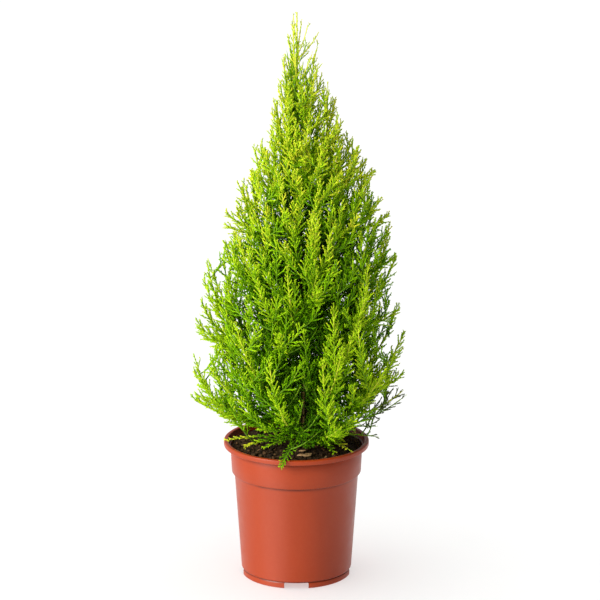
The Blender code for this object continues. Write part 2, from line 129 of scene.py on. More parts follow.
LIMB_COUNT = 40
BOUGH_COUNT = 11
TOP_Z = 0.7400
LOW_Z = 0.2150
FIRST_BEARING = math.radians(117)
BEARING_WANDER = 0.30
HEIGHT_WANDER = 0.009
LOWEST_FORK_Z = 0.1880

# the side leaders that stand out: bearing in degrees, height of the tip, share of the reach
LEADERS = (
    (176, 0.721, 0.96), (188, 0.692, 0.96), (171, 0.662, 0.94), (184, 0.638, 0.98), (192, 0.626, 1.0),
    (178, 0.577, 1.0), (187, 0.529, 0.98), (176, 0.487, 0.99), (194, 0.478, 1.0), (182, 0.425, 1.0),
    (172, 0.398, 1.0), (190, 0.378, 1.0), (180, 0.345, 1.0), (168, 0.327, 1.0), (186, 0.300, 1.0),
    (176, 0.274, 1.0), (196, 0.256, 1.0), (181, 0.241, 1.0),
    (5, 0.699, 0.80), (350, 0.686, 0.88), (12, 0.668, 0.86), (357, 0.659, 0.95), (8, 0.635, 0.96),
    (352, 0.619, 0.95), (4, 0.608, 0.95), (355, 0.577, 1.0), (10, 0.552, 0.94), (358, 0.544, 1.0),
    (349, 0.512, 0.98), (3, 0.485, 1.0), (12, 0.458, 0.98), (354, 0.435, 1.0), (6, 0.426, 1.0),
    (350, 0.366, 1.0), (2, 0.327, 1.0), (10, 0.297, 1.0), (356, 0.276, 1.0), (348, 0.258, 1.0),
    (282, 0.512, 0.93), (317, 0.502, 0.93), (294, 0.486, 0.93), (261, 0.472, 0.93), (320, 0.439, 0.93),
    (243, 0.425, 0.93), (283, 0.419, 0.97), (309, 0.368, 0.93), (259, 0.359, 0.93), (254, 0.326, 0.93),
    (285, 0.328, 0.93), (296, 0.392, 0.84), (306, 0.350, 0.88), (270, 0.560, 0.95), (250, 0.600, 0.95), (300, 0.585, 0.95), (225, 0.540, 0.95))

LOW_SPRAYS = ("spray_left", "spray_front_left", "spray_front", "spray_front_right", "spray_right",
              "spray_far_right")
# the sprays that lie over the soil and the rim.  Which low spray, bearing of the tip in degrees,
# reach and height of the tip, reach and height of the arch, half width, brightness, level fan
LYING = (
    (0, 193, 0.0965, 0.1868, 0.055, 0.193, 0.0085, 0.12, 1), (1, 210, 0.0787, 0.1840, 0.045, 0.192, 0.0125, 0.20, 1),
    (1, 229, 0.0654, 0.1845, 0.035, 0.192, 0.0110, 0.20, 1), (2, 259, 0.1018, 0.1754, 0.093, 0.200, 0.0100, -0.34, 1),
    (3, 315, 0.1020, 0.1872, 0.060, 0.196, 0.0120, 0.14, 1), (3, 305, 0.0854, 0.1850, 0.050, 0.194, 0.0100, -0.05, 1),
    (3, 331, 0.0871, 0.2050, 0.055, 0.190, 0.0130, 0.22, 0), (3, 322, 0.0760, 0.2010, 0.045, 0.189, 0.0130, 0.12, 0),
    (4, 12, 0.1080, 0.1920, 0.070, 0.198, 0.0120, -0.05, 0), (4, 343, 0.1109, 0.1950, 0.070, 0.197, 0.0120, -0.05, 0),
    (5, 2, 0.1440, 0.2410, 0.085, 0.197, 0.0150, 0.00, 0),
    (2, 283, 0.0560, 0.1905, 0.030, 0.191, 0.0120, -0.16, 0), (2, 262, 0.0480, 0.1920, 0.025, 0.191, 0.0120, -0.10, 0),
    (2, 244, 0.0470, 0.1960, 0.025, 0.192, 0.0120, -0.10, 0), (3, 298, 0.0700, 0.1950, 0.035, 0.192, 0.0125, -0.10, 0),
    (4, 35, 0.0800, 0.1950, 0.045, 0.194, 0.0130, -0.15, 0), (4, 62, 0.0780, 0.1960, 0.045, 0.194, 0.0130, -0.15, 0),
    (0, 92, 0.0800, 0.1950, 0.045, 0.194, 0.0130, -0.15, 0), (0, 122, 0.0780, 0.1970, 0.045, 0.195, 0.0130, -0.15, 0),
    (0, 155, 0.0700, 0.1990, 0.040, 0.195, 0.0130, -0.15, 0), (0, 176, 0.0620, 0.1980, 0.035, 0.195, 0.0120, -0.10, 0))

# ------------------------------------------------------------------ small tools
def unit(v):
    return v / np.maximum(np.linalg.norm(v, axis=-1, keepdims=True), 1e-12)


def linear(srgb):
    """Linear colour from 0-255 screen values."""
    out = []
    for c in srgb:
        c = c / 255.0
        out.append(c / 12.92 if c <= 0.04045 else ((c + 0.055) / 1.055) ** 2.4)
    return tuple(out)


def trunk_point(t):
    p = TRUNK_BASE.lerp(TRUNK_TOP, t)
    p.x += TRUNK_BEND * math.sin(t * math.pi * 2.1) * (1 - 0.5 * t)
    p.y += TRUNK_BEND * math.sin(t * math.pi * 2.9 + 0.6) * t * (1.3 - t)
    return p


def trunk_radius(t):
    height = t * (TRUNK_TOP.z - TRUNK_BASE.z)
    body = TRUNK_TIP_RADIUS + (TRUNK_RADIUS - TRUNK_TIP_RADIUS) * (1.0 - t) ** 1.15
    return body + (FLARE_RADIUS - TRUNK_RADIUS) * math.exp(-3.2 * height / FLARE_HEIGHT)


def at_height(z):
    return (z - TRUNK_BASE.z) / (TRUNK_TOP.z - TRUNK_BASE.z)


# the leafy outline draws in where the spire stands above the shoulders
PROFILE = np.array(sorted(CROWN_PROFILE + ((0.591, 0.066, 0.037),)))


def reach(z, bearing):
    """How far out the tips of the crown stand at a height and bearing."""
    right = np.interp(z, PROFILE[:, 0], PROFILE[:, 1])
    left = np.interp(z, PROFILE[:, 0], PROFILE[:, 2])
    side = 0.5 + 0.5 * np.cos(bearing)
    side = side * side * (3.0 - 2.0 * side)
    return left + (right - left) * side


def new_object(name, mesh, mats):
    for m in mats:
        mesh.materials.append(m)
    obj = bpy.data.objects.new(name, mesh)
    bpy.context.scene.collection.objects.link(obj)
    return obj


def mesh_of_triangles(name, verts, tris, slots, mats, smooth):
    mesh = bpy.data.meshes.new(name)
    mesh.vertices.add(len(verts))
    mesh.vertices.foreach_set("co", np.ascontiguousarray(verts, dtype=np.float32).ravel())
    mesh.loops.add(3 * len(tris))
    mesh.loops.foreach_set("vertex_index", np.ascontiguousarray(tris, dtype=np.int32).ravel())
    mesh.polygons.add(len(tris))
    mesh.polygons.foreach_set("loop_start", np.arange(0, 3 * len(tris), 3, dtype=np.int32))
    mesh.polygons.foreach_set("use_smooth", np.full(len(tris), smooth))
    obj = new_object(name, mesh, mats)
    mesh.polygons.foreach_set("material_index", np.ascontiguousarray(slots, dtype=np.int32))
    mesh.update(calc_edges=True)
    return obj


# ------------------------------------------------------------------ materials
class Nodes:
    """A procedural material: a Principled shader and the nodes that feed it."""

    def __init__(self, name, roughness=0.5, specular=0.5, **sockets):
        self.mat = bpy.data.materials.new(name)
        self.mat.use_nodes = True
        self.tree = self.mat.node_tree
        self.bsdf = next(n for n in self.tree.nodes if n.type == "BSDF_PRINCIPLED")
        self.bsdf.inputs["Roughness"].default_value = roughness
        self.bsdf.inputs["Specular IOR Level"].default_value = specular
        for key, value in sockets.items():
            self.bsdf.inputs[key.replace("_", " ")].default_value = value
        self.place = self.tree.nodes.new("ShaderNodeTexCoord").outputs["Object"]

    def node(self, kind, **values):
        n = self.tree.nodes.new(kind)
        for key, value in values.items():
            if hasattr(n, key):
                setattr(n, key, value)
            else:
                n.inputs[key.replace("_", " ")].default_value = value
        return n

    def link(self, a, b):
        self.tree.links.new(a, b)

    def noise(self, scale, detail=3.0, rough=0.55, squash=None, distortion=0.0):
        n = self.node("ShaderNodeTexNoise", Scale=scale, Detail=detail, Roughness=rough,
                      Distortion=distortion)
        if squash:
            m = self.node("ShaderNodeMapping")
            m.inputs["Scale"].default_value = squash
            self.link(self.place, m.inputs["Vector"])
            self.link(m.outputs["Vector"], n.inputs["Vector"])
        else:
            self.link(self.place, n.inputs["Vector"])
        return n.outputs["Fac"]

    def ramp(self, source, stops, ease="LINEAR"):
        r = self.node("ShaderNodeValToRGB")
        r.color_ramp.interpolation = ease
        while len(r.color_ramp.elements) < len(stops):
            r.color_ramp.elements.new(0.5)
        for element, (position, color) in zip(r.color_ramp.elements, stops):
            element.position = position
            if not isinstance(color, tuple):
                color = (color, color, color)
            element.color = (*color, 1.0)
        self.link(source, r.inputs["Fac"])
        return r.outputs["Color"]

    def mix(self, factor, a, b, mode="MIX"):
        m = self.node("ShaderNodeMix", data_type="RGBA", blend_type=mode)
        for key, value in (("Factor", factor), ("A", a), ("B", b)):
            socket = next(s for s in m.inputs if s.name == key and s.enabled)
            if isinstance(value, bpy.types.NodeSocket):
                self.link(value, socket)
            elif key == "Factor":
                socket.default_value = value
            else:
                socket.default_value = (*value, 1.0)
        return next(s for s in m.outputs if s.enabled)

    def math(self, operation, a, b=0.0):
        m = self.node("ShaderNodeMath", operation=operation)
        for socket, value in zip(m.inputs, (a, b)):
            if isinstance(value, bpy.types.NodeSocket):
                self.link(value, socket)
            else:
                socket.default_value = value
        return m.outputs[0]

    def bump(self, height, strength, distance, below=None):
        b = self.node("ShaderNodeBump", Strength=strength, Distance=distance)
        self.link(height, b.inputs["Height"])
        if below is not None:
            self.link(below, b.inputs["Normal"])
        self.link(b.outputs["Normal"], self.bsdf.inputs["Normal"])
        return b.outputs["Normal"]

    def color(self, source):
        self.link(source, self.bsdf.inputs["Base Color"])

    def rough(self, source):
        self.link(source, self.bsdf.inputs["Roughness"])


def leaf_material(name, pale, deep, roughness=0.60):
    """Scale leaves: one plain green with fine mottling, a waxy bloom and a grained skin."""
    m = Nodes(name, roughness=roughness, specular=0.05)
    m.color(m.ramp(m.noise(420.0, 2.0), [(0.34, linear(deep)), (0.62, linear(pale))]))
    m.rough(m.ramp(m.noise(900.0, 1.0), [(0.3, roughness - 0.08), (0.7, roughness + 0.12)]))
    m.bump(m.noise(1800.0, 2.0), 0.25, 0.0002)
    return m.mat


def bark_material(name, crack, body, crest, scale=1.0, strength=0.8):
    m = Nodes(name, roughness=0.82, specular=0.25)
    fibre = m.noise(900.0 * scale, 5.0, 0.62, squash=(1.0, 1.0, 0.14), distortion=0.4)
    patch = m.noise(130.0 * scale, 3.0, 0.5, squash=(1.0, 1.0, 0.4))
    base = m.ramp(fibre, [(0.30, linear(crack)), (0.48, linear(body)), (0.72, linear(crest))])
    m.color(m.mix(m.ramp(patch, [(0.40, 0.0), (0.65, 0.45)]), base, linear(crest)))
    m.rough(m.ramp(fibre, [(0.3, 0.92), (0.7, 0.68)]))
    m.bump(fibre, strength, 0.0006)
    return m.mat


# Greens from the bright growing tips to the shaded inside, then the grey-green of the lowest
# shaded sprays.  Each spray takes one.
GREENS = [
    leaf_material("leaf_gold", (230, 234, 80), (208, 218, 42)),
    leaf_material("leaf_lime", (196, 226, 48), (166, 207, 22)),
    leaf_material("leaf_green", (148, 198, 9), (118, 172, 3)),
    leaf_material("leaf_mid", (98, 156, 3), (76, 130, 1)),
    leaf_material("leaf_deep", (62, 112, 1), (45, 88, 1)),
    leaf_material("leaf_dark", (38, 75, 1), (25, 53, 1)),
    leaf_material("leaf_grey", (104, 124, 58), (82, 102, 42)),
]
SHOOT = [
    leaf_material("shoot_gold", (222, 222, 54), (200, 204, 26)),
    leaf_material("shoot_lime", (180, 214, 24), (152, 195, 10)),
    leaf_material("shoot_green", (138, 188, 9), (110, 162, 3)),
    leaf_material("shoot_mid", (92, 146, 3), (70, 120, 1)),
    leaf_material("shoot_deep", (58, 104, 1), (42, 80, 1)),
    leaf_material("shoot_dark", (36, 68, 1), (24, 48, 1)),
    leaf_material("shoot_grey", (98, 112, 56), (78, 92, 42)),
]
BARK = [
    bark_material("bark_old", (24, 15, 8), (58, 39, 24), (96, 70, 46)),
    bark_material("bark_young", (108, 82, 34), (172, 142, 74), (212, 184, 116), 1.2, 0.5),
    bark_material("bark_green", (62, 96, 8), (92, 136, 14), (128, 168, 30), 1.3, 0.35),
    bark_material("bark_tip", (170, 178, 34), (204, 208, 50), (222, 224, 84), 1.3, 0.30),
]

# ------------------------------------------------------------------ growth
class Shoots:
    """Many curved shoots at once: base, control point and tip of each, with its marks."""

    def __init__(self, a, b, c, **marks):
        self.a, self.b, self.c = a, b, c
        self.marks = marks
        s = np.linspace(0, 1, 9)[None, :, None]
        p = a[:, None] * (1 - s) ** 2 + b[:, None] * (2 * s * (1 - s)) + c[:, None] * s ** 2
        self.length = np.linalg.norm(np.diff(p, axis=1), axis=2).sum(axis=1)
        chord = np.abs(unit(c - a))
        self.ref = np.eye(3)[chord.argmin(axis=1)]

    def __len__(self):
        return len(self.a)

    def __getitem__(self, key):
        return self.marks[key]

    def at(self, i, s):
        s = s[..., None]
        return self.a[i] * (1 - s) ** 2 + self.b[i] * (2 * s * (1 - s)) + self.c[i] * s ** 2

    def along(self, i, s):
        s = s[..., None]
        return unit((self.b[i] - self.a[i]) * (1 - s) + (self.c[i] - self.b[i]) * s + 1e-9)

    def across(self, i, s):
        t = self.along(i, s)
        e1 = unit(np.cross(self.ref[i], t))
        return t, e1, np.cross(t, e1)

    def pick(self, keep):
        return Shoots(self.a[keep], self.b[keep], self.c[keep],
                      **{k: v[keep] for k, v in self.marks.items()})


def buds(shoots, start, end, spacing):
    """Places along each shoot, a spacing apart: shoot index, place 0-1, its number."""
    run = (end - start) * shoots.length
    count = np.maximum(0, np.floor(run / spacing)).astype(int)
    i = np.repeat(np.arange(len(shoots)), count)
    first = np.repeat(np.cumsum(count) - count, count)
    k = np.arange(len(i)) - first
    u = (k + 0.5 + rng.uniform(-0.28, 0.28, len(i))) / np.repeat(count, count)
    s = start[i] + (end - start)[i] * u
    return i, s, u, k


def grow(shoots, i, s, k, angle, length, turn_in, lift, flat=None, facing=None):
    """Side shoots that leave at an angle, then turn in along the parent and up to the light.

    Where flat is set they leave to the left and right in turn, as a fan that lies level.  Where
    facing is set two pairs in three leave sideways, so that the plume turns its face outward."""
    t, e1, e2 = shoots.across(i, s)
    first = rng.uniform(0, math.tau, len(shoots))[i]
    roll = first + math.pi * (k % 2) + 0.5 * math.pi * (k // 2 % 2) + rng.uniform(-0.38, 0.38, len(i))
    out = e1 * np.cos(roll)[:, None] + e2 * np.sin(roll)[:, None]
    if facing is not None:
        away = shoots.at(i, s) * np.array([1.0, 1.0, 0.0])
        d1 = unit(np.cross(t, unit(away)))
        d2 = np.cross(t, d1)
        turn = math.pi * (k % 2) + 0.5 * math.pi * (k // 2 % 3 == 2) + rng.uniform(-0.50, 0.50, len(i))
        out = np.where(facing[:, None], d1 * np.cos(turn)[:, None] + d2 * np.sin(turn)[:, None], out)
    if flat is not None:
        level = unit(np.cross(t, np.array([0.0, 0.0, 1.0])))
        level = level * np.where(k % 2 == 0, 1.0, -1.0)[:, None]
        level[:, 2] += rng.uniform(-0.15, 0.30, len(i))
        out = np.where(flat[:, None], unit(level), out)
    away = t * np.cos(angle)[:, None] + out * np.sin(angle)[:, None]
    a = shoots.at(i, s)
    end = unit(away + t * turn_in[:, None] + np.array([0, 0, 1.0]) * lift[:, None])
    b = a + away * (length * 0.5)[:, None]
    c = b + end * (length * 0.5)[:, None]
    return a, b, c


# ---- the limbs: forty boughs round the trunk and six low sprays
def curve_from(fork, tip, rise, steep=0.0):
    """Control point of a limb that leaves outward and turns up, more so where it is steep."""
    out = tip - fork
    flat = out * np.array([1, 1, 0])
    k = 0.62 - 0.30 * rise
    up = k * (0.35 + 0.5 * rise)
    k += steep * (0.86 - k)
    up += steep * (0.30 - up)
    return fork + flat * k + np.array([0, 0, out[2] * up])


def steepness(z):
    """The leaders stand upright through the crown's middle and lean out at its foot."""
    return float(np.interp(z, (0.23, 0.30, 0.38, 0.60, 0.70), (0.15, 0.50, 0.90, 0.85, 0.40)))


def plan_limbs():
    limbs = []
    dice = random.Random(SEED)
    for i in range(LIMB_COUNT):
        share = i / (LIMB_COUNT - 1)
        z = TOP_Z + (LOW_Z - TOP_Z) * share
        z += dice.uniform(-HEIGHT_WANDER, HEIGHT_WANDER) * (0 < i < LIMB_COUNT - 1)
        bearing = FIRST_BEARING + GOLDEN * i + dice.uniform(-BEARING_WANDER, BEARING_WANDER)
        r = float(reach(z, bearing))
        tip = np.array([r * math.cos(bearing), r * math.sin(bearing), z])
        rise = 0.5 + 0.5 * math.cos(math.pi * min(1.0, share * 1.05))
        climb = 0.105 + 0.060 * math.sin(math.pi * (1.0 - share) ** 0.8)
        fork_z = max(LOWEST_FORK_Z + 0.0015 * (LIMB_COUNT - i), z - climb)
        fork_z = min(fork_z, z - 0.02)
        fork = np.array(trunk_point(at_height(fork_z)))
        run = np.linalg.norm(tip - fork)
        bough = i >= LIMB_COUNT - BOUGH_COUNT * 2 and (LIMB_COUNT - 1 - i) % 2 == 0
        start = (0.036 if bough else 0.014 + 0.006 * share) / run + 0.04
        limbs.append(dict(a=fork, b=curve_from(fork, tip, rise, 0.6 * steepness(z)), c=tip, share=share, mass=i,
                          rise=rise, bearing=bearing, start=start * 0.75, kind=0))
    for k, (spray, bearing, r, z, arch_r, arch_z, wide, bright, level) in enumerate(LYING):
        a = math.radians(bearing)
        d = np.array([math.cos(a), math.sin(a), 0.0])
        fork = np.array(trunk_point(at_height(0.1835 + 0.0005 * k)))
        limbs.append(dict(a=fork, b=fork * [1, 1, 0] + d * arch_r + [0, 0, arch_z], c=d * r + [0, 0, z],
                          share=1.0, mass=LIMB_COUNT + spray, rise=0.35, bearing=a, start=0.24,
                          kind=1, wide=wide, bright=bright, flat=level))
    return limbs


def bezier(a, b, c, s):
    return a * (1 - s) ** 2 + b * 2 * s * (1 - s) + c * s ** 2


def named_leaders(limbs):
    """Each named leader forks off the bough that best carries it."""
    out = []
    boughs = [l for l in limbs if l["kind"] == 0]
    for degrees, z, part in LEADERS:
        bearing = math.radians(degrees)
        r = float(reach(z, bearing)) * part
        tip = np.array([r * math.cos(bearing), r * math.sin(bearing), z])
        want = 0.050 + 0.45 * r
        best = None
        for parent in boughs:
            turn = abs(math.atan2(math.sin(bearing - parent["bearing"]), math.cos(bearing - parent["bearing"])))
            for s in np.linspace(0.15, 0.75, 13):
                base = bezier(parent["a"], parent["b"], parent["c"], s)
                d = tip - base
                flat = math.hypot(d[0], d[1])
                if d[2] < 0.22 * flat + 0.004:
                    continue
                cost = abs(np.linalg.norm(d) - want) + 0.012 * turn
                if best is None or cost < best[0]:
                    best = (cost, base, parent)
        _, base, parent = best
        out.append(dict(a=base, b=curve_from(base, tip, min(1.0, parent["rise"] + 0.10), steepness(z)), c=tip,
                        share=float(np.clip((TOP_Z - z) / (TOP_Z - LOW_Z), 0, 1)),
                        mass=parent["mass"], rise=parent["rise"], bearing=bearing, start=0.08, kind=6))
    return out


def fork_limbs(limbs):
    """Side leaders: each bough forks, and the tips spread evenly over the crown."""
    tips = [l["c"] for l in limbs]
    out = []
    for parent in limbs:
        if parent["kind"] != 0:
            continue
        share = parent["share"]
        for m in range(0 if share < 0.06 else 2 if share < 0.20 else 3 if share < 0.4 else 4):
            best = None
            for _ in range(14):
                spread = 0.052 / max(0.03, math.hypot(*parent["c"][:2]))
                bearing = parent["bearing"] + rng.uniform(-1, 1) * min(1.3, spread)
                z = float(np.clip(parent["c"][2] + rng.uniform(-0.042, 0.030) * (0.6 + 0.5 * share),
                                  0.226, 0.728))
                r = float(reach(z, bearing)) * rng.uniform(0.70, 0.94)
                tip = np.array([r * math.cos(bearing), r * math.sin(bearing), z])
                gap = min(np.linalg.norm(tip - other) for other in tips)
                if best is None or gap > best[0]:
                    best = (gap, tip, bearing)
            _, tip, bearing = best
            tips.append(tip)
            s = rng.uniform(0.30, 0.62)
            a, b, c = parent["a"], parent["b"], parent["c"]
            base = a * (1 - s) ** 2 + b * 2 * s * (1 - s) + c * s ** 2
            if base[2] > tip[2] - 0.012:
                s = rng.uniform(0.16, 0.34)
                base = a * (1 - s) ** 2 + b * 2 * s * (1 - s) + c * s ** 2
            out.append(dict(a=base, b=curve_from(base, tip, min(1.0, parent["rise"] + 0.15), steepness(tip[2])), c=tip,
                            share=share, mass=parent["mass"], rise=parent["rise"],
                            bearing=bearing, start=0.10, kind=2))
    return out


def skirt(x, y):
    """Height of the crown's lower edge: it rises outward, most at the front left."""
    bearing = np.arctan2(y, x)
    front_left = np.clip(np.cos(bearing - math.radians(224)), 0, 1) ** 4
    right = np.clip(np.cos(bearing - math.radians(330)), 0, 1)
    return 0.1835 + np.hypot(x, y) * (0.13 + 0.23 * front_left - 0.07 * right)


def fill_gaps(limbs, most, close):
    """Leafy side branches grow into the gaps left in the crown, each off the nearest wood below."""
    def points(limb, low, n):
        return bezier(limb["a"], limb["b"], limb["c"], np.linspace(low, 1.0, n)[:, None])

    leafy = np.concatenate([points(l, max(0.15, l["start"]), 10) for l in limbs])
    wood = np.concatenate([points(l, 0.08, 10)[:8] for l in limbs])
    owner = np.repeat(np.arange(len(limbs)), 8)
    z = rng.uniform(0.194, 0.690, 8000)
    bearing = rng.uniform(0, math.tau, len(z))
    r = reach(z, bearing) * np.sqrt(rng.uniform(0.03, 0.74, len(z)))
    spot = np.stack([r * np.cos(bearing), r * np.sin(bearing), z], axis=1)
    spot = spot[z > skirt(spot[:, 0], spot[:, 1]) + 0.010]
    z = spot[:, 2]
    room = np.full(len(spot), np.inf)
    for k in range(0, len(leafy), 500):
        d = np.linalg.norm(spot[:, None] - leafy[None, k:k + 500], axis=2).min(axis=1)
        room = np.minimum(room, d)
    out = []
    need = 0.90 + 0.16 * np.clip((z - 0.30) / 0.12, 0, 1) + 0.16 * (spot[:, 0] > 0.03)
    for _ in range(most):
        j = int(np.argmax(room * need))
        if room[j] * need[j] < close:
            break
        d = spot[j] - wood
        flat = np.hypot(d[:, 0], d[:, 1])
        far = np.linalg.norm(d, axis=1) + 0.010 * (np.hypot(*spot[j][:2]) < np.hypot(wood[:, 0], wood[:, 1]))
        far[d[:, 2] < (0.40 if spot[j][2] > 0.235 else 0.12) * flat + 0.002] = np.inf
        if not np.isfinite(far).any():
            room[j] = 0.0
            continue
        k = int(np.argmin(far))
        base, parent = wood[k], limbs[owner[k]]
        tip = spot[j] + unit(spot[j] - base) * rng.uniform(0.006, 0.014) + np.array([0, 0, 0.014])
        b = math.atan2(tip[1], tip[0])
        over = math.hypot(tip[0], tip[1]) / (float(reach(tip[2], b)) * (0.90 + 0.05 * math.cos(b)))
        if over > 1.0:
            tip[:2] /= over
        limb = dict(a=base, b=curve_from(base, tip, 0.45, steepness(tip[2])), c=tip, mass=parent["mass"],
                    share=float(np.clip((TOP_Z - tip[2]) / (TOP_Z - LOW_Z), 0, 1)),
                    rise=0.5, bearing=b, start=0.12, kind=7)
        out.append(limb)
        new = points(limb, 0.2, 8)
        room = np.minimum(room, np.linalg.norm(spot[:, None] - new[None], axis=2).min(axis=1))
    print("gaps filled by", len(out), "widest left %.4f" % room.max())
    return out


def top_shoots():
    """The leader's own forks: bearing in degrees, reach, height of tip and of fork."""
    rows = ((180, 0.0040, 0.7480, 0.704), (20, 0.0072, 0.7395, 0.700), (-15, 0.0158, 0.7360, 0.692),
            (8, 0.0290, 0.7230, 0.688), (172, 0.0108, 0.7205, 0.676), (-25, 0.0225, 0.6990, 0.655),
            (160, 0.0165, 0.6930, 0.645), (75, 0.0120, 0.7120, 0.668), (-95, 0.0125, 0.7010, 0.650))
    out = []
    for bearing, r, z, fork_z in rows:
        a = math.radians(bearing)
        base = np.array(trunk_point(at_height(fork_z)))
        tip = np.array([r * math.cos(a), r * math.sin(a), z])
        middle = base + (tip - base) * np.array([0.62, 0.62, 0.40])
        out.append(dict(a=base, b=middle, c=tip, share=0.0, mass=0 if bearing > 90 else 1, rise=1.0,
                        bearing=a, start=0.10, kind=3))
    return out


plan = plan_limbs()
plan += named_leaders(plan)
plan += fork_limbs(plan)
plan += fill_gaps(plan, 490, 0.0110)
plan += top_shoots()
# the leader itself, from where the crown's stem turns green
leader_base = np.array(trunk_point(at_height(0.640)))
plan.append(dict(a=leader_base, b=np.array(trunk_point(at_height(0.695))), c=np.array(TRUNK_TOP),
                 share=0.0, mass=0, rise=1.0, bearing=0.0, start=0.0, kind=4))
# a second stem stands bare in front of the trunk's foot
second = np.array([0.0102, -0.0200, 0.2250])
plan.append(dict(a=np.array(trunk_point(at_height(0.186))), b=second, c=np.array([0.0090, -0.0520, 0.3020]),
                 share=0.95, mass=LIMB_COUNT - 1, rise=1.0, bearing=-1.5, start=0.95, kind=8))
plan.append(dict(a=np.array([0.0090, -0.0515, 0.3010]), b=np.array([0.0090, -0.0720, 0.3500]),
                 c=np.array([0.0270, -0.0960, 0.4350]), share=0.70, mass=LIMB_COUNT - 6, rise=0.9,
                 bearing=-1.4, start=0.06, kind=6))
# inside the crown: short leafy shoots straight off the stem
for j in range(30):
    z = 0.187 + 0.045 * (j / 29.0)
    base = np.array(trunk_point(at_height(z)))
    bearing = 0.4 + GOLDEN * j
    r = rng.uniform(0.030, 0.062)
    tip = np.array([r * math.cos(bearing), r * math.sin(bearing), z + rng.uniform(0.012, 0.045)])
    plan.append(dict(a=base, b=curve_from(base, tip, 0.5), c=tip, share=0.9, mass=39 - j % 4, rise=0.6,
                     bearing=bearing, start=0.22, kind=5))
for j in range(120):
    z = 0.225 + 0.43 * (j / 119.0)
    base = np.array(trunk_point(at_height(z)))
    bearing = 1.9 + GOLDEN * j
    r = float(reach(z + 0.05, bearing)) * rng.uniform(0.38, 0.70)
    tip = np.array([r * math.cos(bearing), r * math.sin(bearing), z + rng.uniform(0.03, 0.07)])
    plan.append(dict(a=base, b=curve_from(base, tip, 0.6), c=tip, share=1.0 - j / 119.0,
                     mass=int(np.clip(39 - j * 39 / 119.0, 2, 39)), rise=0.6, bearing=bearing,
                     start=0.25, kind=5))

# the foot of the crown and its right side are filled more closely
for j in range(36):
    z = 0.235 + 0.165 * (j / 35.0)
    base = np.array(trunk_point(at_height(z)))
    bearing = 0.9 + GOLDEN * j
    r = rng.uniform(0.036, 0.080)
    tip = np.array([r * math.cos(bearing), r * math.sin(bearing), z + rng.uniform(0.03, 0.07)])
    plan.append(dict(a=base, b=curve_from(base, tip, 0.6), c=tip, share=0.9, mass=39 - j % 6, rise=0.6,
                     bearing=bearing, start=0.20, kind=5, bright=0.10))
for j in range(22):
    z = 0.236 + 0.130 * ((j * 0.618) % 1.0)
    base = np.array(trunk_point(at_height(max(z - 0.045, 0.192))))
    bearing = math.radians(226.0 + 92.0 * (j + 0.5) / 22.0)
    r = float(reach(z, bearing)) * rng.uniform(0.66, 0.86)
    tip = np.array([r * math.cos(bearing), r * math.sin(bearing), z])
    plan.append(dict(a=base, b=curve_from(base, tip, 0.6), c=tip, share=0.75, mass=39 - j % 6, rise=0.6,
                     bearing=bearing, start=0.42, kind=2, bright=-0.06))
for j in range(26):
    z = 0.290 + 0.270 * (j / 25.0)
    base = np.array(trunk_point(at_height(z)))
    bearing = math.radians(-58.0 + 116.0 * ((j * 0.618) % 1.0))
    r = float(reach(z + 0.05, bearing)) * rng.uniform(0.60, 0.86)
    tip = np.array([r * math.cos(bearing), r * math.sin(bearing), z + rng.uniform(0.04, 0.09)])
    plan.append(dict(a=base, b=curve_from(base, tip, 0.7), c=tip, share=0.7,
                     mass=int(np.clip(34 - j, 2, 39)), rise=0.7, bearing=bearing, start=0.30,
                     kind=5, bright=0.06))

limbs = Shoots(np.array([l["a"] for l in plan]), np.array([l["b"] for l in plan]),
               np.array([l["c"] for l in plan]),
               share=np.array([l["share"] for l in plan]), mass=np.array([l["mass"] for l in plan]),
               start=np.array([l["start"] for l in plan]), kind=np.array([l["kind"] for l in plan]),
               flat=np.array([float(l.get("flat", 0)) for l in plan]),
               wide=np.array([l.get("wide", 0.0) for l in plan]),
               bright=rng.uniform(-0.10, 0.10, len(plan)) + np.array([l.get("bright", 0.0) for l in plan]))
# the leaders that stand out are the brightest; the shoots between and behind them are darker, partly their own colour
# and partly painted shade
limbs.marks["bright"] += np.select([np.isin(limbs["kind"], (0, 6)), limbs["kind"] == 2, limbs["kind"] == 7,
                                    limbs["kind"] == 5], [0.15, 0.01, -0.12, -0.20], 0.04)


def depth(p):
    """0 at the crown's skin, 1 at its middle."""
    bearing = np.arctan2(p[:, 1], p[:, 0])
    r = np.hypot(p[:, 0], p[:, 1])
    return np.clip(1.0 - r / np.maximum(reach(p[:, 2], bearing), 0.012), 0.0, 1.0)


def keep_inside(a, b, c, margin):
    """Shortens shoots whose tips leave the crown, and lifts those that meet the pot."""
    for _ in range(6):
        bearing = np.arctan2(c[:, 1], c[:, 0])
        r = np.hypot(c[:, 0], c[:, 1])
        z = np.clip(c[:, 2], 0.186, 0.745)
        out = ((r > reach(z, bearing) + margin) & (c[:, 2] > 0.205)) | (c[:, 2] > TRUNK_TOP.z + 0.001)
        b[out] = a[out] + (b[out] - a[out]) * 0.78
        c[out] = a[out] + (c[out] - a[out]) * 0.78
    for p, gap in ((b, 0.0006), (c, 0.0010)):
        r = np.hypot(p[:, 0], p[:, 1])
        floor = np.where(r < RIM_RADIUS + 0.003, POT_HEIGHT + gap, POT_HEIGHT - 0.0085)
        floor = np.where(r < RIM_INNER_RADIUS - 0.006, SOIL_WALL_Z + SOIL_MOUND + 0.0015 + gap, floor)
        p[:, 2] = np.maximum(p[:, 2], floor)
    return a, b, c


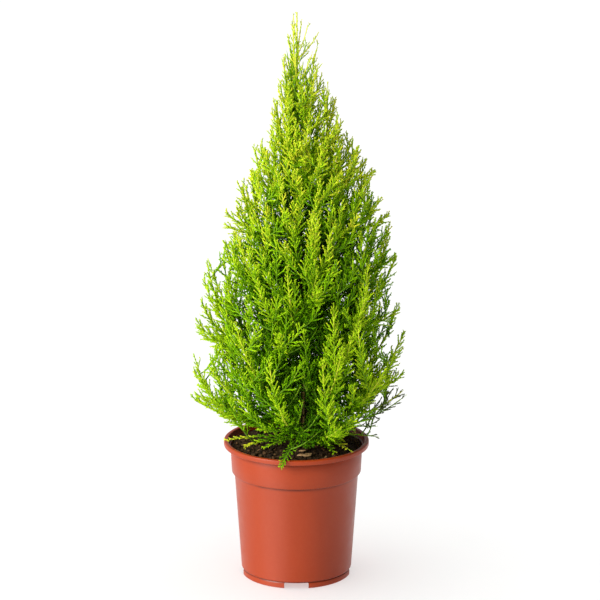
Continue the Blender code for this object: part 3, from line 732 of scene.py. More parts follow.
def open_soil(shoots):
    """Keeps shoots off the open soil."""
    p = shoots.c
    edge = skirt(p[:, 0], p[:, 1]) + rng.uniform(-0.003, 0.003, len(p))
    keep = (p[:, 2] > edge) | (shoots["kind"] == 1)
    # the bare second stem shows through a slot in the foliage before it
    slot = np.zeros(len(p), bool)
    for q in (shoots.b, shoots.c):
        ahead = -0.020 - 0.030 * np.clip((q[:, 2] - 0.225) / 0.075, 0, 1)
        sight = q[:, 2] + 0.275 * (q[:, 1] - ahead)
        slot |= (np.abs(q[:, 0] - 0.0096) < 0.0027) & (q[:, 1] < ahead) & (sight > 0.204) & (sight < 0.272)
    return keep & ~slot


def in_shade(p):
    """The lowest sprays on the right: thin, few and grey-green."""
    return (p[:, 0] > 0.066) & (p[:, 2] < 0.207 + (p[:, 0] - 0.068) * 0.86) & (p[:, 1] > -0.085)


# ---- side shoots on every limb
kind = limbs["kind"]
share = limbs["share"]
half_width = np.select(
    [(kind == 0) | (kind == 6), kind == 1, kind == 2, kind == 3, kind == 4],
    [0.0085 + 0.0165 * share ** 0.6, limbs["wide"], 0.0080 + 0.0155 * share ** 0.6,
     np.full(len(limbs), 0.0014), np.full(len(limbs), 0.0014)], 0.0170)
spacing = np.select([kind == 1, kind == 3, kind == 4, kind == 5, kind == 7, kind == 8],
                    [0.0044, 0.0034, 0.0034, 0.0046, 0.0036, 0.0100], 0.0028 + 0.0002 * share)
i, s, u, k = buds(limbs, limbs["start"], np.full(len(limbs), 0.985), spacing)
w = half_width[i]
grown = np.clip(u / 0.22, 0, 1) ** 0.7 * 0.45 + 0.55
length = w * grown * (1.0 - u) ** 0.50 + 0.0042
length *= rng.uniform(0.82, 1.14, len(i))
height = limbs.at(i, s)[:, 2]
length = np.minimum(length, np.clip(0.0032 + (0.738 - height) * 0.27, 0.0032, 0.05))
angle = np.radians(41.0 - 12.0 * u + rng.uniform(-4, 4, len(i)))
a, b, c = grow(limbs, i, s, k, angle, length, np.full(len(i), 0.22), np.full(len(i), 0.14),
               flat=limbs["flat"][i] > 0.5, facing=np.isin(kind[i], (0, 2, 6, 7)))
a, b, c = keep_inside(a, b, c, 0.001)
side = Shoots(a, b, c, limb=i, u=u, mass=limbs["mass"][i], kind=kind[i],
              bright=limbs["bright"][i] + rng.uniform(-0.12, 0.12, len(i)))
thin = in_shade(side.c) & (rng.uniform(0, 1, len(side)) < 0.55)
# the crown's tip is sparser than the rest
thin |= rng.uniform(0, 1, len(side)) < 0.42 * np.clip((side.c[:, 2] - 0.635) / 0.06, 0, 1) * (side["kind"] != 4)
side = side.pick((side.length > 0.002) & open_soil(side) & ~thin)

# ---- branchlets on every side shoot
i = side["limb"]
deep = depth(side.c)
gap = 0.0036 + 0.0050 * np.clip(deep - 0.30, 0, 1) + 0.0030 * in_shade(side.c)
i, s, u, k = buds(side, np.full(len(side), 0.16), np.full(len(side), 0.96), gap)
run = side.length[i]
stub = 0.10 + 0.12 * np.clip((run - 0.012) / 0.016, 0, 1)
length = (stub * run + 0.0012) * (1.0 - u) ** 0.6 + 0.0014
length = np.minimum(length, 0.0080) * rng.uniform(0.75, 1.25, len(i))
angle = np.radians(34.0 - 6.0 * u + rng.uniform(-5, 5, len(i)))
a, b, c = grow(side, i, s, k, angle, length, np.full(len(i), 0.30), np.full(len(i), 0.10))
a, b, c = keep_inside(a, b, c, 0.002)
let = Shoots(a, b, c, side=i, u=u, mass=side["mass"][i], kind=side["kind"][i],
             bright=side["bright"][i] + rng.uniform(-0.05, 0.05, len(i)))
keep = open_soil(let)
let = let.pick(keep)
print("limbs", len(limbs), "side shoots", len(side), "branchlets", len(let))


# ---- colour: bright at the tips and skin, dark inside, partly as painted shade; painted light on the left and painted shade on the right
def tone_of(p, u, bright):
    d = depth(p)
    top = np.clip((p[:, 2] - 0.41) / 0.26, 0, 1)
    low = np.clip((0.365 - p[:, 2]) / 0.135, 0, 1)
    # painted shade on the right, away from the key light, and painted light on the left, where it falls
    right = np.clip((p[:, 0] - 0.035) / 0.075, 0, 1) * (1.0 - 0.6 * top) * (1.0 - 0.75 * low)
    left = np.clip((-p[:, 0] - 0.02) / 0.06, 0, 1)
    skirt_right = np.clip((p[:, 0] - 0.035) / 0.045, 0, 1) * low
    shoulder = np.exp(-((p[:, 2] - 0.575) / 0.055) ** 2)
    # darker with depth: partly the inner foliage's own darker green, partly painted shade inside the crown
    tone = 0.86 - (1.45 - 1.0 * top) * np.maximum(d - 0.16, 0) + 0.16 * (u - 0.5) + bright
    # darker low down, partly painted shade under the crown
    tone += 0.38 * top - (0.16 + 0.17 * np.exp(-(p[:, 0] / 0.060) ** 2)) * low - 0.16 * right + 0.15 * left
    tone += 0.26 * skirt_right + 0.20 * shoulder
    tone = np.minimum(tone, 0.88 + 0.5 * np.clip((p[:, 2] - 0.43) / 0.12, 0, 1))
    # painted light: the hollows at the foot of the crown on the camera's side are kept a lighter green, lifting their
    # shade
    foot = (p[:, 2] < 0.37) & (p[:, 1] < 0.02) & (np.abs(p[:, 0]) < 0.065)
    tone = np.where(foot, np.maximum(tone, 0.38), tone)
    return np.where(in_shade(p), -9.0, np.clip(tone, 0.0, 1.0))


def slot_of(tone, jitter=0.05):
    slot = np.digitize(-(tone + rng.uniform(-jitter, jitter, len(tone))), [-0.92, -0.70, -0.50, -0.32, -0.16])
    return np.where(tone < -1.0, 6, slot)


side_tone = tone_of(side.at(np.arange(len(side)), np.full(len(side), 0.6)), side["u"], side["bright"])
j = let["side"]
let_tone = np.clip(0.5 * side_tone[j] + 0.5 * tone_of(let.c, side["u"][j], let["bright"])
                   + 0.22 * (let["u"] - 0.6), 0, 1)
let_tone[(side_tone[j] < -1.0) | in_shade(let.c)] = -9.0
# the sprays that lie on the soil are yellow-green
side_tone[side["kind"] == 1] += 0.20
let_tone[let["kind"] == 1] += 0.20
limb_index = np.arange(len(limbs))


# ---- leaves: pairs of scales, each pair across the last
def leaves_on(shoots, tone, start, pitch, size, core, lean):
    i, s, u, k = buds(shoots, start, np.full(len(shoots), 1.0), pitch)
    t, e1, e2 = shoots.across(i, s)
    spin = rng.uniform(0, math.tau, len(shoots))[i] + k * (math.pi / 2)
    place = shoots.at(i, s)
    taper = 1.0 - 0.25 * u
    rows = []
    for half in (0.0, math.pi):
        roll = spin + half + rng.uniform(-0.25, 0.25, len(i))
        n = e1 * np.cos(roll)[:, None] + e2 * np.sin(roll)[:, None]
        tilt = lean * rng.uniform(0.75, 1.25, len(i))
        d = t * np.cos(tilt)[:, None] + n * np.sin(tilt)[:, None]
        w = np.cross(t, n)
        length = size[i] * taper * rng.uniform(0.8, 1.2, len(i))
        base = place + n * (core[i] * (1 - 0.3 * u))[:, None] * 0.72
        rows.append((base, d, w, t, length, tone[i], shoots["mass"][i]))
    return [np.concatenate([r[q] for r in rows]) for q in range(7)]


let_deep = np.clip(depth(let.c) - 0.15, 0, 1)
let_pitch = 0.0020 + 0.0036 * let_deep
let_core = 0.00072 + 0.00040 * np.clip((let_deep - 0.2) / 0.4, 0, 1) - 0.00020 * np.clip((let.c[:, 2] - 0.60) / 0.12, 0, 1)
side_core = (0.00080 + 0.006 * side.length) * (1 - 0.28 * np.clip((side.c[:, 2] - 0.60) / 0.12, 0, 1))
tips = limbs.pick((kind != 5) & (kind != 8))
groups = [
    leaves_on(let, let_tone, np.full(len(let), 0.10), let_pitch,
              0.0021 + 0.0016 * np.clip((let_deep - 0.2) / 0.4, 0, 1), let_core, 0.34),
    leaves_on(side, side_tone, np.full(len(side), 0.30), np.full(len(side), 0.0022),
              np.full(len(side), 0.0022), side_core, 0.34),
    leaves_on(tips, np.clip(0.80 + tips["bright"] + 0.25 * (tips.c[:, 2] > 0.60), 0, 1),
              np.where(np.isin(tips["kind"], (3, 4)), 0.05, 0.55),
              np.full(len(tips), 0.0024), np.full(len(tips), 0.0024),
              np.full(len(tips), 0.0008), 0.36),
]
leaf_base, leaf_dir, leaf_wide, leaf_axis, leaf_len, leaf_tone, leaf_mass = [
    np.concatenate([g[q] for g in groups]) for q in range(7)]
print("leaves", len(leaf_base))


def leaf_mesh(name, pick):
    base, d, w, t, ln = (x[pick] for x in (leaf_base, leaf_dir, leaf_wide, leaf_axis, leaf_len))
    ln = ln[:, None]
    wide = ln * 0.27
    back = unit(np.cross(w, d))
    mid = base + d * ln * 0.42 + back * ln * 0.05
    tip = base + d * ln * 0.92 + t * ln * 0.12
    verts = np.stack([base, mid + w * wide, mid - w * wide, tip], axis=1).reshape(-1, 3)
    n = len(base)
    first = np.arange(n)[:, None] * 4
    tris = np.concatenate([first + np.array([0, 1, 3]), first + np.array([0, 3, 2])], axis=1).reshape(-1, 3)
    slots = np.repeat(slot_of(leaf_tone[pick]), 2)
    return mesh_of_triangles(name, verts, tris, slots, GREENS, False)


# ---- stalks: tapering three- to seven-sided shoots
def stalks(shoots, r0, r1, sides, rings, rough=0.0):
    n = len(shoots)
    idx = np.arange(n)
    st = np.linspace(0.0, 0.90, rings)
    verts = np.zeros((n, rings * sides + 1, 3))
    for q, sq in enumerate(st):
        sv = np.full(n, sq)
        p = shoots.at(idx, sv)
        t, e1, e2 = shoots.across(idx, sv)
        radius = r0 + (r1 - r0) * sq ** 0.8
        for m in range(sides):
            a = math.tau * m / sides
            rr = radius * (1.0 + rough * rng.uniform(-1, 1, n)) if rough else radius
            verts[:, q * sides + m] = p + (e1 * math.cos(a) + e2 * math.sin(a)) * rr[:, None]
    verts[:, -1] = shoots.c
    tris = []
    for q in range(rings - 1):
        for m in range(sides):
            m2 = (m + 1) % sides
            p0, p1 = q * sides + m, q * sides + m2
            p2, p3 = (q + 1) * sides + m2, (q + 1) * sides + m
            tris += [(p0, p1, p2), (p0, p2, p3)]
    q = rings - 1
    for m in range(sides):
        tris.append((q * sides + m, q * sides + (m + 1) % sides, rings * sides))
    tris = np.array(tris)
    per = rings * sides + 1
    faces = (idx[:, None, None] * per + tris[None]).reshape(-1, 3)
    return verts.reshape(-1, 3), faces, len(tris)


# ------------------------------------------------------------------ pieces of the crown
def masses_named(low, high):
    names = [f"foliage_{m + 1:02d}" for m in range(LIMB_COUNT)]
    names += [f"foliage_{name}" for name in LOW_SPRAYS]
    return [names[m] for m in range(low, min(high, len(names)))]


def split_by_mass(weights, most):
    """Runs of neighbouring masses whose pieces stay under the most triangles."""
    runs, start, total = [], 0, 0
    for m, w in enumerate(weights):
        if total + w > most and m > start:
            runs.append((start, m))
            start, total = m, 0
        total += w
    runs.append((start, len(weights)))
    return runs


MASS_COUNT = LIMB_COUNT + len(LOW_SPRAYS)
MOST = 180000
weights = np.bincount(leaf_mass, minlength=MASS_COUNT) * 2
for n, (low, high) in enumerate(split_by_mass(weights, MOST)):
    piece = leaf_mesh(f"leaves_{n + 1}", (leaf_mass >= low) & (leaf_mass < high))
    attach(piece, "root")
    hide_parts(*masses_named(low, high))
    print(piece.name, len(piece.data.polygons))

let_v, let_f, let_n = stalks(let, let_core, let_core * 0.72, 3, 2)
side_v, side_f, side_n = stalks(side, side_core, side_core * 0.66, 3, 3)
weights = (np.bincount(let["mass"], minlength=MASS_COUNT) * let_n
           + np.bincount(side["mass"], minlength=MASS_COUNT) * side_n)
for n, (low, high) in enumerate(split_by_mass(weights, MOST)):
    parts = []
    for shoots, v, f, per, tone in ((let, let_v, let_f, let_n, let_tone),
                                    (side, side_v, side_f, side_n, side_tone - 0.12)):
        pick = (shoots["mass"] >= low) & (shoots["mass"] < high)
        pv = len(v) // len(shoots)
        vv = v.reshape(len(shoots), pv, 3)[pick].reshape(-1, 3)
        base = np.arange(pick.sum())[:, None, None] * pv
        tri = f.reshape(len(shoots), per, 3)[0][None] + base
        parts.append((vv, tri.reshape(-1, 3), np.repeat(slot_of(tone[pick]), per)))
    off = len(parts[0][0])
    piece = mesh_of_triangles(f"twigs_{n + 1}", np.concatenate([parts[0][0], parts[1][0]]),
                              np.concatenate([parts[0][1], parts[1][1] + off]),
                              np.concatenate([parts[0][2], parts[1][2]]), SHOOT, True)
    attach(piece, "root")
    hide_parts(*masses_named(low, high))
    print(piece.name, len(piece.data.polygons))

# ------------------------------------------------------------------ boughs and trunk
stout = np.isin(kind, (0, 1, 8))
rows = []
for pick, sides, rings in ((stout, 8, 16), (~stout, 5, 7)):
    woody = limbs.pick(pick)
    r0 = np.select([woody["kind"] == 0, woody["kind"] == 1, woody["kind"] == 8],
                   [0.0009 + 0.0010 * woody["share"], np.full(len(woody), 0.0010),
                    np.full(len(woody), 0.0013)], 0.0008 + 0.0003 * woody["share"])
    r1 = np.where(woody["kind"] == 8, 0.0011, 0.0006)
    v, f, per = stalks(woody, r0, r1, sides, rings, rough=0.10)
    ring = np.concatenate([np.repeat(np.arange(rings - 1), sides * 2), np.full(sides, rings - 1)]) / rings
    grown = np.tile(ring, len(woody))
    old = np.repeat(np.where(woody["kind"] == 0, woody["share"], -0.5), per)
    slots = np.where(grown < 0.40 * old, 0, 2)
    slots = np.where(np.repeat(woody["kind"] == 8, per), 1, slots)
    slots = np.where(np.repeat(np.isin(woody["kind"], (3, 4)), per) | ((grown > 0.6) & (slots == 2)
                     & np.repeat(np.isin(woody["kind"], (0, 6)), per)), 3, slots)
    rows.append((v, f, slots))
off = len(rows[0][0])
boughs = mesh_of_triangles("boughs", np.concatenate([rows[0][0], rows[1][0]]),
                           np.concatenate([rows[0][1], rows[1][1] + off]),
                           np.concatenate([rows[0][2], rows[1][2]]), BARK, True)
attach(boughs, "root")
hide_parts(*[f"bough_{n + 1:02d}" for n in range(BOUGH_COUNT)])


def build_trunk():
    """Stringy bark in long ridges, a lobed root flare, and scars where limbs leave."""
    around, rings = 48, 320
    scars = [(at_height(l["a"][2]), l["bearing"]) for l in plan if l["kind"] in (0, 1)]
    verts = np.zeros((rings + 1, around, 3))
    for q in range(rings + 1):
        t = (q / rings) ** 1.25
        p, r = trunk_point(t), trunk_radius(t)
        z = p.z - TRUNK_BASE.z
        foot = math.exp(-z / 0.012)
        for m in range(around):
            a = math.tau * m / around
            ridge = noise.noise(Vector((math.cos(a) * 2.6, math.sin(a) * 2.6, z * 26.0)))
            fine = noise.noise(Vector((math.cos(a) * 7.0, math.sin(a) * 7.0, z * 90.0 + 9.0)))
            lobe = 0.5 + 0.5 * math.cos(a * 4.0 + 1.1 + 0.7 * math.sin(a + 2.0))
            rr = r * (1.0 + 0.13 * ridge + 0.055 * fine + 0.16 * foot * (lobe - 0.35))
            for ts, bs in scars:
                dz = (t - ts) * (TRUNK_TOP.z - TRUNK_BASE.z)
                if abs(dz) < 0.006:
                    da = math.atan2(math.sin(a - bs), math.cos(a - bs))
                    rr += r * 0.20 * math.exp(-(dz / 0.0026) ** 2 - (da / 0.55) ** 2)
            verts[q, m] = (p.x + rr * math.cos(a), p.y + rr * math.sin(a), p.z)
    tris, slots = [], []
    for q in range(rings):
        t = (q / rings) ** 1.25
        wood = 0 if t < 0.70 else 2 if t < 0.84 else 3
        for m in range(around):
            m2 = (m + 1) % around
            b = q * around
            tris += [(b + m, b + m2, b + around + m2), (b + m, b + around + m2, b + around + m)]
            slots += [wood, wood]
    flat = verts.reshape(-1, 3)
    flat = np.concatenate([flat, [list(trunk_point(0.0))], [list(TRUNK_TOP)]])
    foot, tip = len(flat) - 2, len(flat) - 1
    for m in range(around):
        m2 = (m + 1) % around
        tris += [(foot, m2, m), (rings * around + m, rings * around + m2, tip)]
        slots += [0, 3]
    return mesh_of_triangles("trunk_bark", flat, np.array(tris), np.array(slots), BARK, True)


trunk = build_trunk()
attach(trunk, "root")
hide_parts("trunk")

# ------------------------------------------------------------------ pot
def pot_material():
    """Satin moulded plastic: faint flow bands, fine haze, small scuffs, and painted shade under the lip, under the
    collar and above the foot ring.
    """
    m = Nodes("pot_plastic_satin", roughness=0.36, specular=0.30)
    flow = m.noise(16.0, 3.0, 0.5, squash=(1.0, 1.0, 0.35))
    speck = m.noise(260.0, 4.0, 0.6)
    base = m.ramp(flow, [(0.30, linear((149, 51, 13))), (0.70, linear((157, 55, 16)))])
    haze = m.ramp(speck, [(0.46, 0.0), (0.80, 0.20)])
    base = m.mix(haze, base, linear((164, 69, 31)))
    # painted shade held in the corners: dark bands above the foot ring, under the collar and under the lip
    split = m.node("ShaderNodeSeparateXYZ")
    m.link(m.place, split.inputs[0])
    height = m.math("DIVIDE", split.outputs["Z"], POT_HEIGHT)
    lines = m.ramp(height, [(0.034, 0.0), (0.038, 0.75), (0.045, 0.75), (0.052, 0.0),
                            (0.744, 0.0), (0.757, 0.55), (0.767, 0.55), (0.770, 0.0),
                            (0.944, 0.0), (0.955, 0.70), (0.964, 0.70), (0.967, 0.0)])
    patchy = m.ramp(m.noise(32.0, 3.0, 0.55), [(0.30, 0.35), (0.62, 1.0)])
    # painted shade, patchy along the bands
    painted_shade = m.math("MULTIPLY", lines, patchy)
    m.color(m.mix(painted_shade, base, linear((62, 22, 12))))
    m.rough(m.ramp(m.noise(60.0, 5.0, 0.6), [(0.30, 0.32), (0.70, 0.42)]))
    fine = m.bump(m.noise(900.0, 3.0, 0.6), 0.06, 0.0004)
    m.bump(m.noise(38.0, 2.0, 0.5, squash=(1.0, 1.0, 0.25)), 0.12, 0.0012, fine)
    return m.mat


def pot_profile():
    """Outside then inside of the wall, from the foot's inner edge round to the floor."""
    def corner(r, z, radius, a0, a1, steps):
        return [(r + radius * math.cos(math.radians(a0 + (a1 - a0) * k / steps)),
                 z + radius * math.sin(math.radians(a0 + (a1 - a0) * k / steps)))
                for k in range(steps + 1)]

    pts = [(FOOT_RADIUS - FOOT_THICKNESS, FLOOR_Z), (FOOT_RADIUS - FOOT_THICKNESS, 0.0004),
           (FOOT_RADIUS - FOOT_THICKNESS + 0.0004, 0.0)]
    pts += [(FOOT_RADIUS - 0.0005, 0.0), (FOOT_RADIUS, 0.0005), (FOOT_RADIUS + 0.0001, HEEL_Z - 0.0016),
            (FOOT_RADIUS - 0.0002, HEEL_Z - 0.0010)]
    heel_r = WALL_BOTTOM_RADIUS
    pts += corner(heel_r - HEEL_RADIUS * 0.45, HEEL_Z + HEEL_RADIUS * 0.45, HEEL_RADIUS * 0.45, -80, 4, 6)
    pts += [(WALL_TOP_RADIUS - 0.0002, COLLAR_BOTTOM_Z - 0.0022)]
    pts += [(WALL_TOP_RADIUS + 0.0003, COLLAR_BOTTOM_Z - 0.0009),
            (COLLAR_BOTTOM_RADIUS - 0.0009, COLLAR_BOTTOM_Z - 0.0003)]
    pts += [(COLLAR_BOTTOM_RADIUS - 0.0003, COLLAR_BOTTOM_Z), (COLLAR_BOTTOM_RADIUS, COLLAR_BOTTOM_Z + 0.0006)]
    under = POT_HEIGHT - LIP_HEIGHT
    pts += [(COLLAR_TOP_RADIUS - 0.0001, under - 0.0030), (COLLAR_TOP_RADIUS - 0.0006, under - 0.0022),
            (COLLAR_TOP_RADIUS - 0.0009, under - 0.0010), (COLLAR_TOP_RADIUS - 0.0003, under - 0.0002),
            (COLLAR_TOP_RADIUS + 0.0012, under)]
    pts += corner(RIM_RADIUS - 0.0010, under + 0.0010, 0.0010, -90, 0, 4)
    pts += corner(RIM_RADIUS - 0.0016, POT_HEIGHT - 0.0016, 0.0016, 4, 88, 5)
    pts += corner(RIM_INNER_RADIUS + 0.0014, POT_HEIGHT - 0.0013, 0.0013, 92, 176, 5)
    inner_top = COLLAR_TOP_RADIUS - WALL_THICKNESS
    pts += [(RIM_INNER_RADIUS - 0.0002, POT_HEIGHT - 0.0040), (inner_top + 0.0006, under - 0.0040),
            (inner_top - 0.0001, under - 0.0070)]
    pts += [(COLLAR_BOTTOM_RADIUS - WALL_THICKNESS, COLLAR_BOTTOM_Z + 0.0010),
            (WALL_TOP_RADIUS - WALL_THICKNESS, COLLAR_BOTTOM_Z - 0.0030),
            (WALL_BOTTOM_RADIUS - WALL_THICKNESS, FLOOR_Z + FLOOR_THICKNESS + 0.0030),
            (WALL_BOTTOM_RADIUS - WALL_THICKNESS - 0.0030, FLOOR_Z + FLOOR_THICKNESS)]
    return pts


def build_pot():
    steps = 192
    profile = pot_profile()
    bm = bmesh.new()
    rings = [[bm.verts.new((r * math.cos(math.tau * k / steps), r * math.sin(math.tau * k / steps), z))
              for k in range(steps)] for r, z in profile]
    for lower, upper in zip(rings, rings[1:]):
        for k in range(steps):
            bm.faces.new((lower[k], lower[(k + 1) % steps], upper[(k + 1) % steps], upper[k]))
    for ring, z, flip in ((rings[0], FLOOR_Z, True), (rings[-1], FLOOR_Z + FLOOR_THICKNESS, False)):
        centre = bm.verts.new((0, 0, z))
        for k in range(steps):
            a, b = ring[k], ring[(k + 1) % steps]
            bm.faces.new((a, b, centre) if not flip else (b, a, centre))
    bmesh.ops.recalc_face_normals(bm, faces=bm.faces)
    mesh = bpy.data.meshes.new("pot_shell")
    bm.to_mesh(mesh)
    bm.free()
    shell = new_object("pot_shell", mesh, [pot_material()])

    # notches through the foot ring and drain holes through the floor
    cut = bmesh.new()
    for turn in range(2):
        long_side = FOOT_RADIUS * 2 + 0.02
        size = (NOTCH_WIDTH, long_side) if turn == 0 else (long_side, NOTCH_WIDTH)
        box = bmesh.ops.create_cube(cut, size=1.0)["verts"]
        for vert in box:
            vert.co.x *= size[0]
            vert.co.y *= size[1]
            vert.co.z = vert.co.z * (NOTCH_HEIGHT + 0.01) + (NOTCH_HEIGHT - 0.01) / 2
        bmesh.ops.bevel(cut, geom=[e for e in {e for v in box for e in v.link_edges}
                                   if min(v.co.z for v in e.verts) > 0],
                        offset=0.0012, segments=3, affect="EDGES", profile=0.5)
        cutter_mesh = bpy.data.meshes.new("notch")
        cut.to_mesh(cutter_mesh)
        cut.clear()
        carve(shell, cutter_mesh)
    for k in range(4):
        a = math.radians(45 + 90 * k)
        bmesh.ops.create_cone(cut, cap_ends=True, segments=32, radius1=DRAIN_RADIUS,
                              radius2=DRAIN_RADIUS, depth=0.02)
        for vert in cut.verts:
            vert.co += Vector((DRAIN_CIRCLE * math.cos(a), DRAIN_CIRCLE * math.sin(a), FLOOR_Z + 0.001))
        cutter_mesh = bpy.data.meshes.new("drain")
        cut.to_mesh(cutter_mesh)
        cut.clear()
        carve(shell, cutter_mesh)
    cut.free()
    for poly in shell.data.polygons:
        poly.use_smooth = True
    shell.data.set_sharp_from_angle(angle=math.radians(38))
    return shell


def carve(obj, cutter_mesh):
    cutter = bpy.data.objects.new("cutter", cutter_mesh)
    bpy.context.scene.collection.objects.link(cutter)
    mod = obj.modifiers.new("cut", "BOOLEAN")
    mod.operation = "DIFFERENCE"
    mod.solver = "EXACT"
    mod.object = cutter
    deps = bpy.context.evaluated_depsgraph_get()
    result = bpy.data.meshes.new_from_object(obj.evaluated_get(deps))
    obj.modifiers.clear()
    obj.data = result
    bpy.data.objects.remove(cutter)


pot = build_pot()
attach(pot, "root")
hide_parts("pot")

# ------------------------------------------------------------------ soil
def soil_material(name, dark, light, scale=1.0):
    m = Nodes(name, roughness=0.95, specular=0.15)
    clod = m.noise(300.0 * scale, 6.0, 0.65)
    fibre = m.noise(1200.0 * scale, 3.0, 0.6)
    base = m.ramp(clod, [(0.32, linear(dark)), (0.58, linear(light)), (0.80, linear(tuple(c * 1.5 for c in light)))])
    m.color(m.mix(m.ramp(fibre, [(0.55, 0.0), (0.75, 0.5)]), base, linear((112, 84, 52))))
    m.rough(m.ramp(clod, [(0.3, 0.98), (0.7, 0.82)]))
    m.bump(clod, 0.9, 0.0015)
    return m.mat


def soil_top(x, y):
    r = math.hypot(x, y)
    edge = RIM_INNER_RADIUS - 0.004
    z = SOIL_WALL_Z + SOIL_MOUND * math.cos(min(1.0, r / edge) * math.pi / 2)
    z += SOIL_UNEVEN * noise.noise(Vector((x * 55, y * 55, 3.0)))
    return z


def build_soil():
    dark = soil_material("soil_peat", (20, 12, 4), (58, 42, 24))
    rings, around = 60, 220
    edge = COLLAR_TOP_RADIUS - WALL_THICKNESS - 0.0006
    verts = [(0.0, 0.0, soil_top(0, 0))]
    for q in range(1, rings + 1):
        r = edge * (q / rings)
        for m in range(around):
            a = math.tau * m / around
            x, y = r * math.cos(a), r * math.sin(a)
            rough = noise.fractal(Vector((x * 190, y * 190, 1.0)), 1.0, 2.1, 4)
            lump = max(0.0, noise.noise(Vector((x * 120, y * 120, 7.0))))
            fade = 1.0 if q < rings - 1 else 0.3
            verts.append((x, y, soil_top(x, y) + (0.0011 * rough + 0.0026 * lump) * fade))
    for r, z in ((edge, SOIL_WALL_Z - 0.010), (0.040, SOIL_WALL_Z - 0.014)):
        for m in range(around):
            a = math.tau * m / around
            verts.append((r * math.cos(a), r * math.sin(a), z))
    verts.append((0.0, 0.0, SOIL_WALL_Z - 0.014))
    tris = [(0, 1 + m, 1 + (m + 1) % around) for m in range(around)]
    for q in range(rings + 1):
        b = 1 + q * around
        for m in range(around):
            m2 = (m + 1) % around
            tris += [(b + m, b + around + m, b + around + m2), (b + m, b + around + m2, b + m2)]
    last, b = len(verts) - 1, 1 + (rings + 1) * around
    tris += [(b + (m + 1) % around, b + m, last) for m in range(around)]
    bed = mesh_of_triangles("soil_bed", np.array(verts), np.array(tris), np.zeros(len(tris)), [dark], True)

    # loose crumbs of peat in three shades; the few chips of wood are made by build_chips
    ball = bmesh.new()
    bmesh.ops.create_icosphere(ball, subdivisions=2, radius=1.0)
    bmesh.ops.triangulate(ball, faces=ball.faces)
    ball_v = np.array([v.co for v in ball.verts])
    ball_f = np.array([[v.index for v in f.verts] for f in ball.faces])
    ball.free()
    dice = random.Random(SEED + 5)
    vs, fs, sl, off = [], [], [], 0
    for n in range(900):
        r = (RIM_INNER_RADIUS - 0.0075) * math.sqrt(dice.random())
        a = dice.uniform(0, math.tau)
        x, y = r * math.cos(a), r * math.sin(a)
        if math.hypot(x - TRUNK_BASE.x, y) < 0.012:
            continue
        size = 0.0007 + 0.0021 * dice.random() ** 2.6
        shape = np.array([dice.uniform(0.7, 1.6), dice.uniform(0.6, 1.2), dice.uniform(0.45, 0.9)])
        turn = dice.uniform(0, math.tau)
        seed = dice.uniform(0, 90)
        lump = np.array([1.0 + 0.42 * noise.noise(Vector(p) * 1.7 + Vector((seed, 0, 0))) for p in ball_v])
        p = ball_v * lump[:, None] * shape * size
        ct, st = math.cos(turn), math.sin(turn)
        p = np.stack([p[:, 0] * ct - p[:, 1] * st, p[:, 0] * st + p[:, 1] * ct, p[:, 2]], axis=1)
        p += (x, y, soil_top(x, y) + size * 0.45 + 0.0006)
        vs.append(p)
        fs.append(ball_f + off)
        sl.append(np.full(len(ball_f), dice.choice((0, 0, 0, 1, 1, 2))))
        off += len(p)
    mats = [soil_material("crumb_dark", (24, 15, 6), (66, 48, 28), 1.3),
            soil_material("crumb_brown", (40, 26, 12), (92, 66, 40), 1.3),
            soil_material("crumb_black", (12, 8, 4), (38, 28, 18), 1.3)]
    crumbs = mesh_of_triangles("soil_crumbs", np.concatenate(vs), np.concatenate(fs),
                               np.concatenate(sl), mats, True)
    return bed, crumbs


def build_chips():
    """Splinters of wood among the peat: centre, length, width, turn in degrees, tilt."""
    wood = Nodes("wood_chip", roughness=0.75, specular=0.3)
    grain = wood.noise(700.0, 4.0, 0.6, squash=(0.25, 1.0, 1.0))
    wood.color(wood.ramp(grain, [(0.30, linear((138, 98, 60))), (0.55, linear((186, 148, 102))),
                                 (0.75, linear((212, 180, 134)))]))
    wood.bump(grain, 0.5, 0.0005)
    rows = ((0.0105, -0.0545, 0.0190, 0.0074, 8, 0.10), (0.0128, -0.0580, 0.0130, 0.0058, -16, 0.16),
            (0.0075, -0.0400, 0.0105, 0.0052, -14, 0.14), (0.0095, -0.0240, 0.0090, 0.0030, -12, 0.12),
            (-0.0480, -0.0330, 0.0080, 0.0020, 40, 0.08), (0.0520, 0.0330, 0.0100, 0.0026, 110, 0.10),
            (-0.0300, 0.0520, 0.0110, 0.0028, 15, 0.08), (0.0380, -0.0600, 0.0060, 0.0018, 70, 0.15),
            (-0.0650, 0.0180, 0.0070, 0.0016, 95, 0.05), (0.0050, 0.0710, 0.0080, 0.0022, 160, 0.10))
    vs, fs, off = [], [], 0
    for n, (x, y, length, width, turn, tilt) in enumerate(rows):
        steps = 9
        ca, sa = math.cos(math.radians(turn)), math.sin(math.radians(turn))
        z = soil_top(x, y) + 0.0022
        ring = []
        for q in range(steps + 1):
            u = q / steps
            swell = (math.sin(math.pi * (0.10 + 0.82 * u)) ** 0.6)
            lx = (u - 0.5) * length
            wob = 0.35 * width * noise.noise(Vector((u * 3.1, n * 5.0, 0.0)))
            for sy, sz in ((-1, 0.0), (-0.6, 1.0), (0.5, 1.0), (1, 0.1), (0.4, -1.0), (-0.5, -1.0)):
                ly = sy * width / 2 * swell + wob
                lz = sz * width * 0.16 * swell + lx * tilt
                ring.append((x + lx * ca - ly * sa, y + lx * sa + ly * ca, z + lz))
        vs.append(np.array(ring))
        f = []
        for q in range(steps):
            for m in range(6):
                a0, a1 = q * 6 + m, q * 6 + (m + 1) % 6
                f += [(a0, a0 + 6, a1 + 6), (a0, a1 + 6, a1)]
        for m in range(1, 5):
            f += [(0, m, m + 1), (steps * 6, steps * 6 + m + 1, steps * 6 + m)]
        fs.append(np.array(f) + off)
        off += len(ring)
    tris = np.concatenate(fs)
    return mesh_of_triangles("wood_chips", np.concatenate(vs), tris, np.zeros(len(tris)), [wood.mat], False)


bed, crumbs = build_soil()
chips = build_chips()
for piece in (bed, crumbs, chips):
    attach(piece, "root")
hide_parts("soil")

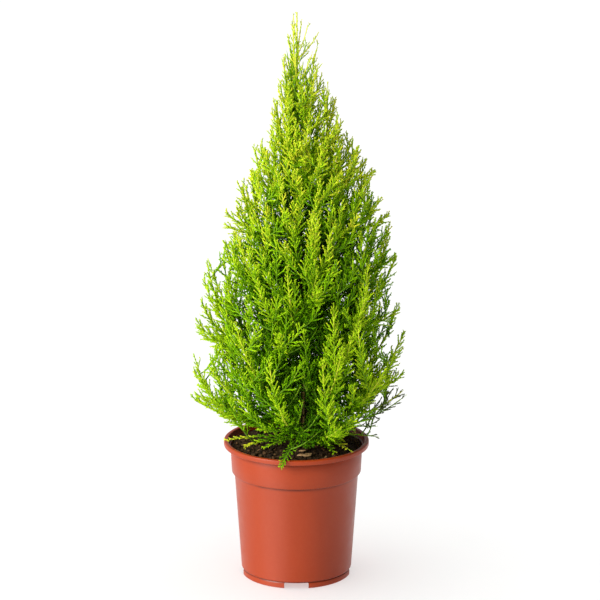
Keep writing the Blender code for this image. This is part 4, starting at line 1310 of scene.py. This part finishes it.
# ------------------------------------------------------------------ studio
def studio():
    scene = bpy.context.scene
    scene.view_settings.view_transform = "Standard"
    scene.view_settings.look = "None"

    floor_mesh = bpy.data.meshes.new("floor")
    floor_mesh.from_pydata([(-30, -30, -0.0005), (30, -30, -0.0005), (30, 30, -0.0005), (-30, 30, -0.0005)],
                           [], [(0, 1, 2, 3)])
    m = Nodes("floor_paper", roughness=0.9, specular=0.1)
    m.color(m.ramp(m.noise(3.0), [(0.3, 0.93), (0.7, 0.95)]))
    floor = new_object("floor", floor_mesh, [m.mat])
    floor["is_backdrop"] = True

    # white to look at; as light it is bright on the left and falls off to the right
    world = bpy.data.worlds.new("studio")
    world.use_nodes = True
    tree = world.node_tree
    back = next(n for n in tree.nodes if n.type == "BACKGROUND")
    out = next(n for n in tree.nodes if n.type == "OUTPUT_WORLD")
    place = tree.nodes.new("ShaderNodeTexCoord")
    split = tree.nodes.new("ShaderNodeSeparateXYZ")
    fall = tree.nodes.new("ShaderNodeMapRange")
    fall.inputs["From Min"].default_value = -1.0
    fall.inputs["To Min"].default_value = 0.90
    fall.inputs["To Max"].default_value = 0.20
    tree.links.new(place.outputs["Generated"], split.inputs[0])
    tree.links.new(split.outputs["X"], fall.inputs["Value"])
    tree.links.new(fall.outputs["Result"], back.inputs["Strength"])
    back.inputs["Color"].default_value = (1.0, 1.0, 1.0, 1.0)
    white = tree.nodes.new("ShaderNodeBackground")
    white.inputs["Color"].default_value = (1.0, 1.0, 1.0, 1.0)
    seen = tree.nodes.new("ShaderNodeLightPath")
    both = tree.nodes.new("ShaderNodeMixShader")
    tree.links.new(seen.outputs["Is Camera Ray"], both.inputs["Fac"])
    tree.links.new(back.outputs[0], both.inputs[1])
    tree.links.new(white.outputs[0], both.inputs[2])
    tree.links.new(both.outputs[0], out.inputs["Surface"])
    scene.world = world

    plant_only = bpy.data.collections.new("lit_by_key")
    for obj in scene.objects:
        if obj.type == "MESH" and obj is not floor:
            plant_only.objects.link(obj)
    floor_only = bpy.data.collections.new("lit_by_floor_light")
    floor_only.objects.link(floor)

    def lamp(kind, name, place, aim, power, receivers, blockers=None, **values):
        light = bpy.data.lights.new(name, kind)
        light.energy = power
        for key, value in values.items():
            setattr(light, key, value)
        obj = bpy.data.objects.new(name, light)
        obj.location = place
        obj.rotation_euler = (Vector(aim) - Vector(place)).to_track_quat("-Z", "Y").to_euler()
        scene.collection.objects.link(obj)
        obj.light_linking.receiver_collection = receivers
        if blockers is not None:
            obj.light_linking.blocker_collection = blockers
        return obj

    lamp("AREA", "key", (-2.6, -1.9, 1.9), (0, 0, 0.35), 190, plant_only,
         shape="RECTANGLE", size=1.6, size_y=2.0)
    pot_only = bpy.data.collections.new("lit_by_sheen")
    pot_only.objects.link(bpy.data.objects["pot_shell"])
    sheen = lamp("AREA", "sheen", (-1.13, -1.02, -0.62), (0, 0, 0.09), 11.5, pot_only, pot_only,
                 shape="RECTANGLE", size=1.3, size_y=1.6)
    sheen.visible_diffuse = False
    lamp("SUN", "floor_light", (0, 0, 5), (0, 0, 0), 1.9, floor_only, floor_only, angle=1.5)

    cam = bpy.data.cameras.new("camera")
    cam.type = "PERSP"
    cam.lens = 211.4
    cam.sensor_width = 36.0
    cam.clip_end = 100.0
    obj = bpy.data.objects.new("camera", cam)
    obj.location = (0.0047, -4.40, 1.581)
    obj.rotation_euler = (math.radians(90 - 15.38), 0, 0)
    scene.collection.objects.link(obj)
    scene.camera = obj


studio()

low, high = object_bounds()
